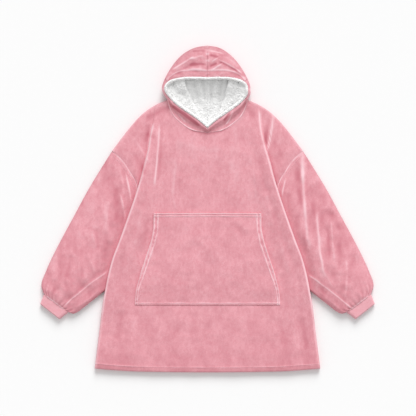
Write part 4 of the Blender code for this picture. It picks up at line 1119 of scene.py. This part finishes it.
def start_tree(name, **inputs):
    """An empty geometry tree with named number inputs, and the sockets that read them."""
    tree = bpy.data.node_groups.new(name, "GeometryNodeTree")
    for label, kind in [("Geometry", "Geometry"), *inputs.items()]:
        tree.interface.new_socket(label, in_out="INPUT", socket_type="NodeSocket" + kind)
    tree.interface.new_socket("Geometry", in_out="OUTPUT", socket_type="NodeSocketGeometry")
    return tree, add_node(tree, "NodeGroupInput", {})


def end_tree(tree, instances, finish):
    """Makes a tree's instances real, paints them and leads them out."""
    solid = add_node(tree, "GeometryNodeRealizeInstances", {"Geometry": instances})["Geometry"]
    painted = add_node(tree, "GeometryNodeSetMaterial", {"Geometry": solid, "Material": finish})["Geometry"]
    add_node(tree, "NodeGroupOutput", {"Geometry": painted})
    return tree


def run_tree(name, source, tree, values, finish):
    """The plain mesh that a geometry tree makes from a source mesh, as a new piece."""
    carrier = bpy.data.objects.new(name, source)
    bpy.context.scene.collection.objects.link(carrier)
    modifier = carrier.modifiers.new(name, "NODES")
    modifier.node_group = tree
    for item in tree.interface.items_tree:
        if item.in_out == "INPUT" and item.name in values:
            modifier[item.identifier] = values[item.name]
    ready = carrier.evaluated_get(bpy.context.evaluated_depsgraph_get())
    mesh = bpy.data.meshes.new_from_object(ready)
    carrier.modifiers.remove(modifier)
    bpy.data.objects.remove(carrier)
    mesh.name = name
    return as_piece(mesh, finish)


def stitch_tree(finish):
    """Stitches along every line of a mesh: one small rounded bar for each stitch."""
    tree, sizes = start_tree("stitches", Pitch="Float", Length="Float", Thickness="Float")
    lines = add_node(tree, "GeometryNodeMeshToCurve", {"Mesh": sizes["Geometry"]})["Curve"]
    spaced = add_node(tree, "GeometryNodeResampleCurve", {"Curve": lines, "Length": sizes["Pitch"]},
                      mode="LENGTH")
    tangent = add_node(tree, "GeometryNodeInputTangent", {})["Tangent"]
    turn = add_node(tree, "FunctionNodeAlignRotationToVector", {"Vector": tangent}, axis="Z")
    bar = add_node(tree, "GeometryNodeMeshCylinder", {
        "Vertices": 6, "Radius": sizes["Thickness"], "Depth": sizes["Length"]})
    placed = add_node(tree, "GeometryNodeInstanceOnPoints", {
        "Points": spaced["Curve"], "Instance": bar["Mesh"], "Rotation": turn["Rotation"]})
    return end_tree(tree, placed["Instances"], finish)


def curl_tree(finish):
    """Pile curls spread over a surface: small lumps, turned and sized unevenly."""
    tree, sizes = start_tree("pile_curls", **{"Density": "Float", "Apart": "Float", "Curl Size": "Float",
                                              "Seed": "Int"})
    spread = add_node(tree, "GeometryNodeDistributePointsOnFaces", {
        "Mesh": sizes["Geometry"], "Distance Min": sizes["Apart"], "Density Max": sizes["Density"],
        "Seed": sizes["Seed"]}, distribute_method="POISSON")
    curl = add_node(tree, "GeometryNodeMeshUVSphere", {
        "Segments": 6, "Rings": 4, "Radius": sizes["Curl Size"]})
    flat = add_node(tree, "GeometryNodeTransform", {"Geometry": curl["Mesh"], "Scale": (1.0, 0.72, 0.62)})
    size = add_node(tree, "FunctionNodeRandomValue", {
        "Min": 0.65, "Max": 1.25, "Seed": sizes["Seed"]}, data_type="FLOAT")
    spin = add_node(tree, "FunctionNodeRandomValue", {
        "Min": (-0.7, -0.7, 0.0), "Max": (0.7, 0.7, 6.28), "Seed": sizes["Seed"]}, data_type="FLOAT_VECTOR")
    placed = add_node(tree, "GeometryNodeInstanceOnPoints", {
        "Points": spread["Points"], "Instance": flat["Geometry"], "Rotation": spread["Rotation"],
        "Scale": size["Value"]})
    turned = add_node(tree, "GeometryNodeRotateInstances", {
        "Instances": placed["Instances"], "Rotation": spin["Value"]})
    return end_tree(tree, turned["Instances"], finish)


def line_mesh(name, lines):
    """A mesh of open lines, each a list of points."""
    points, edges = [], []
    for line in lines:
        first = len(points)
        points.extend(tuple(point) for point in line)
        edges.extend((first + k, first + k + 1) for k in range(len(line) - 1))
    mesh = bpy.data.meshes.new(name)
    mesh.from_pydata(points, edges, [])
    return mesh


def face_patch(name, grid, nap):
    """An open sheet through a grid of points with its pile tone and painted shade, for pile to grow on."""
    rows, columns = grid.shape[:2]
    faces = [(i * columns + j, i * columns + j + 1, (i + 1) * columns + j + 1, (i + 1) * columns + j)
             for i in range(rows - 1) for j in range(columns - 1)]
    mesh = bpy.data.meshes.new(name)
    mesh.from_pydata(grid.reshape(-1, 3).tolist(), [], faces)
    add_values(mesh, "nap", nap)
    return mesh


def line_at(grid, distance_from, amount, rows_first=True):
    """A line of points on a grid, where the distance from an edge equals an amount."""
    line = []
    for index in range(grid.shape[1] if rows_first else grid.shape[0]):
        strip = grid[:, index] if rows_first else grid[index]
        away = distance_from[:, index] if rows_first else distance_from[index]
        order = np.argsort(away)
        line.append([np.interp(amount, away[order], strip[order, axis]) for axis in range(3)])
    return np.array(line)


def seam_ridge(name, lines, finish):
    """Turned seam edges as thin rolls of the cloth along lines, thinner towards their ends, with a painted
    highlight along them.
    """
    sides = 6
    points, faces, lies = [], [], []
    for line in lines:
        line = np.asarray(line)
        run = np.gradient(line, axis=0)
        run = run / np.linalg.norm(run, axis=1, keepdims=True)
        aside = np.stack([-run[:, 1], run[:, 0], np.zeros(len(line))], axis=1)
        share = np.linspace(0, 1, len(line))
        radius = RIDGE_RADIUS * (0.25 + 0.75 * soft(share / 0.15) * soft((1 - share) / 0.15))
        radius = radius * (1 + 0.25 * ripple(line[:, 0], line[:, 1], 0.008))
        first = len(points)
        for k in range(len(line)):
            for turn in np.arange(sides) * 2 * np.pi / sides:
                lift = np.array([0, 0, 0.35 * np.sin(turn)])
                points.append(tuple(line[k] + radius[k] * (aside[k] * np.cos(turn) + lift)))
                # A painted highlight along the ridge
                lies.append(0.72 + 0.40 * float(ripple(line[k, 0], line[k, 1], 0.014)))
        for k in range(len(line) - 1):
            for m in range(sides):
                n = (m + 1) % sides
                low, high = first + k * sides, first + (k + 1) * sides
                faces.append((low + m, low + n, high + n, high + m))
        last = first + (len(line) - 1) * sides
        faces.append(tuple(first + m for m in reversed(range(sides))))
        faces.append(tuple(last + m for m in range(sides)))
    mesh = bpy.data.meshes.new(name)
    mesh.from_pydata(points, [], faces)
    add_values(mesh, "nap", lies)
    turn_outwards(mesh)
    return as_piece(mesh, finish)


def lifted(line, height):
    """A line moved up."""
    return np.asarray(line) + np.array([0, 0, height])


def surface_area(grid, cells=None, around=False):
    """The area of a grid's cells, in square metres."""
    if around:
        grid = np.concatenate([grid, grid[:, :1]], axis=1)
    one = grid[1:, 1:] - grid[:-1, :-1]
    two = grid[1:, :-1] - grid[:-1, 1:]
    areas = np.linalg.norm(np.cross(one, two), axis=2) / 2
    return float(np.sum(areas * np.array(cells))) if cells is not None else float(np.sum(areas))


def dress(piece, solid):
    """Puts a cloth piece in the frame in place of its solid."""
    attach(piece, "root")
    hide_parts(solid)


def add_trim(piece):
    """Puts sewing or pile in the frame."""
    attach(piece, "root")


def make_body(fleece, stitch_lines):
    """The front, the pocket and the back, each with its area, and the stitch lines on them."""
    columns, front, front_under, nap, cells = front_grids()
    # Painted highlights on raised cloth and painted shade in its hollows
    nap += 0.10 * relief_of(front)
    front_piece = cloth_shell("front_cloth", front, front_under, fleece, cells=cells, nap=nap)
    shown = [k for k, column in enumerate(columns) if abs(column) <= FOLD_EDGE]
    hem_rows = slice(-len(HEM_STEPS), None)
    from_hem = abs(front[:, :, 1] - front[-1:, :, 1])
    stitch_lines.append(lifted(line_at(front[hem_rows, shown], from_hem[hem_rows, shown], HEM_DEPTH), 0.0004))

    pocket, pocket_under, nap = pocket_grids(columns, front)
    pocket_piece = cloth_shell("pocket_cloth", pocket, pocket_under, fleece, nap=nap)
    for edge_row, depths in ((0, TOP_LINES), (-1, BOTTOM_LINES)):
        from_edge = abs(pocket[:, :, 1] - pocket[edge_row, :, 1])
        stitch_lines.extend(lifted(line_at(pocket, from_edge, depth), STITCH_LIFT) for depth in depths)
    middle = pocket.shape[1] // 2
    for half in (pocket[:, :middle], pocket[:, :middle:-1]):
        from_side = abs(half[:, :, 0] - half[:, :1, 0])
        stitch_lines.extend(lifted(line_at(half, from_side, depth, rows_first=False)[4:-4], STITCH_LIFT)
                            for depth in SIDE_LINES)

    back, back_under = back_grids()
    back_piece = cloth_shell("back_cloth", back, back_under, fleece)
    return ((front_piece, surface_area(front, cells)), (pocket_piece, surface_area(pocket)),
            (back_piece, surface_area(back)))


def make_sleeve(side, name, fleece, knit, stitch_lines, ridge_lines):
    """A sleeve with its cuff. Its armhole's seam shows on the outer part, its cuff's on the whole top."""
    places = np.concatenate([between([0, 0.02, 0.10], [5, 12]), between([0.10, 0.9, 1], [84, 20])[1:]])
    outer, inner, nap = tube_rings(SLEEVE, places, 100, 12, SLEEVE_FLAT, CLOTH, side, sleeve_shape(side))
    # Painted highlights on raised cloth and painted shade in its hollows
    nap += 0.06 * relief_of(outer, closed=True)
    sleeve = cloth_shell("sleeve_cloth_" + name, outer, inner, fleece, around=True, nap=nap)
    dress(sleeve, "sleeve_" + name)
    stitch_lines.append(lifted(outer[4, 6:46], STITCH_LIFT))
    ridge_lines.extend([lifted(outer[0, 4:46], -0.0002), lifted(outer[-1, 3:107], -0.0001)])

    places = between([0, 0.12, 0.88, 1], [5, 14, 6])
    outer, inner, nap = tube_rings(CUFF, places, 60, 20, CUFF_FLAT, CUFF_CLOTH, side, cuff_shape)
    cuff = cloth_shell("cuff_cloth_" + name, outer, inner, knit, around=True, nap=nap)
    add_rib_phase(cuff, outer, inner)
    dress(cuff, "cuff_" + name)


def make_hood_half(side, name, fleece, pile, ridge_lines):
    """Half of the hood, with its neck's seam ridge, its lining and the lining's pile."""
    outer, inner, nap, cells = hood_grids(side)
    hood = cloth_shell("hood_cloth_" + name, outer, inner, fleece, cells=cells, nap=nap)
    dress(hood, "hood_" + name)
    outline = int(np.argmin(abs(HOOD_STEPS)))
    neck_rows = (HOOD_ROWS >= NECK_ROW + 0.1) & (HOOD_ROWS <= 12)
    ridge_lines.append(lifted(outer[neck_rows, outline], 0.0001))

    face, under, nap = lining_grids(side)
    lining = cloth_shell("hood_lining_cloth_" + name, face, under, pile, nap=nap)
    ground = face_patch("pile_ground_" + name, face, nap)
    curls = run_tree("pile_curls_" + name, ground, curl_tree(pile), {
        "Density": 90000.0, "Apart": 0.0034, "Curl Size": 0.0025, "Seed": SEED + side}, pile)
    add_trim(curls)
    dress(lining, "hood_lining_" + name)


def make_hoodie():
    """Every visible piece of the hoodie."""
    fleece, knit, pile, thread = fleece_material(), cuff_material(), pile_material(), thread_material()
    stitch_lines, ridge_lines = [], []
    body = make_body(fleece, stitch_lines)
    for side, name in ((1, "left"), (-1, "right")):
        make_sleeve(side, name, fleece, knit, stitch_lines, ridge_lines)
        make_hood_half(side, name, fleece, pile, ridge_lines)
    stitches = run_tree("stitches", line_mesh("stitch_lines", stitch_lines), stitch_tree(thread),
                        {"Pitch": 0.0042, "Length": 0.0030, "Thickness": 0.00055}, thread)
    ridges = seam_ridge("seam_ridges", ridge_lines, fleece)
    for trim in (stitches, ridges):
        add_trim(trim)
    for (piece, area), solid, rests_on, trims in zip(
            body, ("front", "pocket", "back"), (["back"], ["front"], []), ([stitches, ridges], [], [])):
        dress(piece, solid)


def add_rib_phase(piece, outer, inner):
    """Gives every point its place round the cuff, as the phase of the knit's ribs."""
    ribs_per_metre = 420.0
    phase = []
    for grid in (outer, inner):
        closed = np.concatenate([grid, grid[:, :1]], axis=1)
        steps = np.linalg.norm(np.diff(closed, axis=1), axis=2)
        around = np.cumsum(steps, axis=1) - steps
        phase.append(around * ribs_per_metre * 2 * np.pi)
    add_values(piece.data, "across", np.concatenate(phase))


def add_studio():
    """A pale floor, soft light from above the hood, and the camera straight above."""
    bpy.ops.mesh.primitive_grid_add(x_subdivisions=2, y_subdivisions=2, size=12.0, location=(0, 0, 0))
    floor = bpy.context.object
    floor.name = "studio_floor"
    floor.data.transform(floor.matrix_world)
    floor.matrix_world.identity()
    floor.data.materials.append(floor_material())

    world = bpy.data.worlds.new("studio_light")
    world.use_nodes = True
    sky = world.node_tree.nodes["Background"].inputs
    sky["Color"].default_value = (1.0, 1.0, 1.0, 1.0)
    sky["Strength"].default_value = SKY_STRENGTH
    bpy.context.scene.world = world

    lamp = bpy.data.lights.new("key_light", "SUN")
    lamp.energy = KEY_STRENGTH
    lamp.angle = np.radians(KEY_SPREAD)
    key = bpy.data.objects.new("key_light", lamp)
    key.rotation_euler = np.radians(KEY_TURN)
    bpy.context.scene.collection.objects.link(key)

    lens = bpy.data.cameras.new("camera")
    lens.lens = LENS_MM
    lens.sensor_width = SENSOR_MM
    camera = bpy.data.objects.new("camera", lens)
    camera.location = (*VIEW_CENTRE, VIEW_WIDTH * LENS_MM / SENSOR_MM)
    bpy.context.scene.collection.objects.link(camera)
    bpy.context.scene.camera = camera
    bpy.context.scene.view_settings.view_transform = "Standard"


add_studio()
make_hoodie()
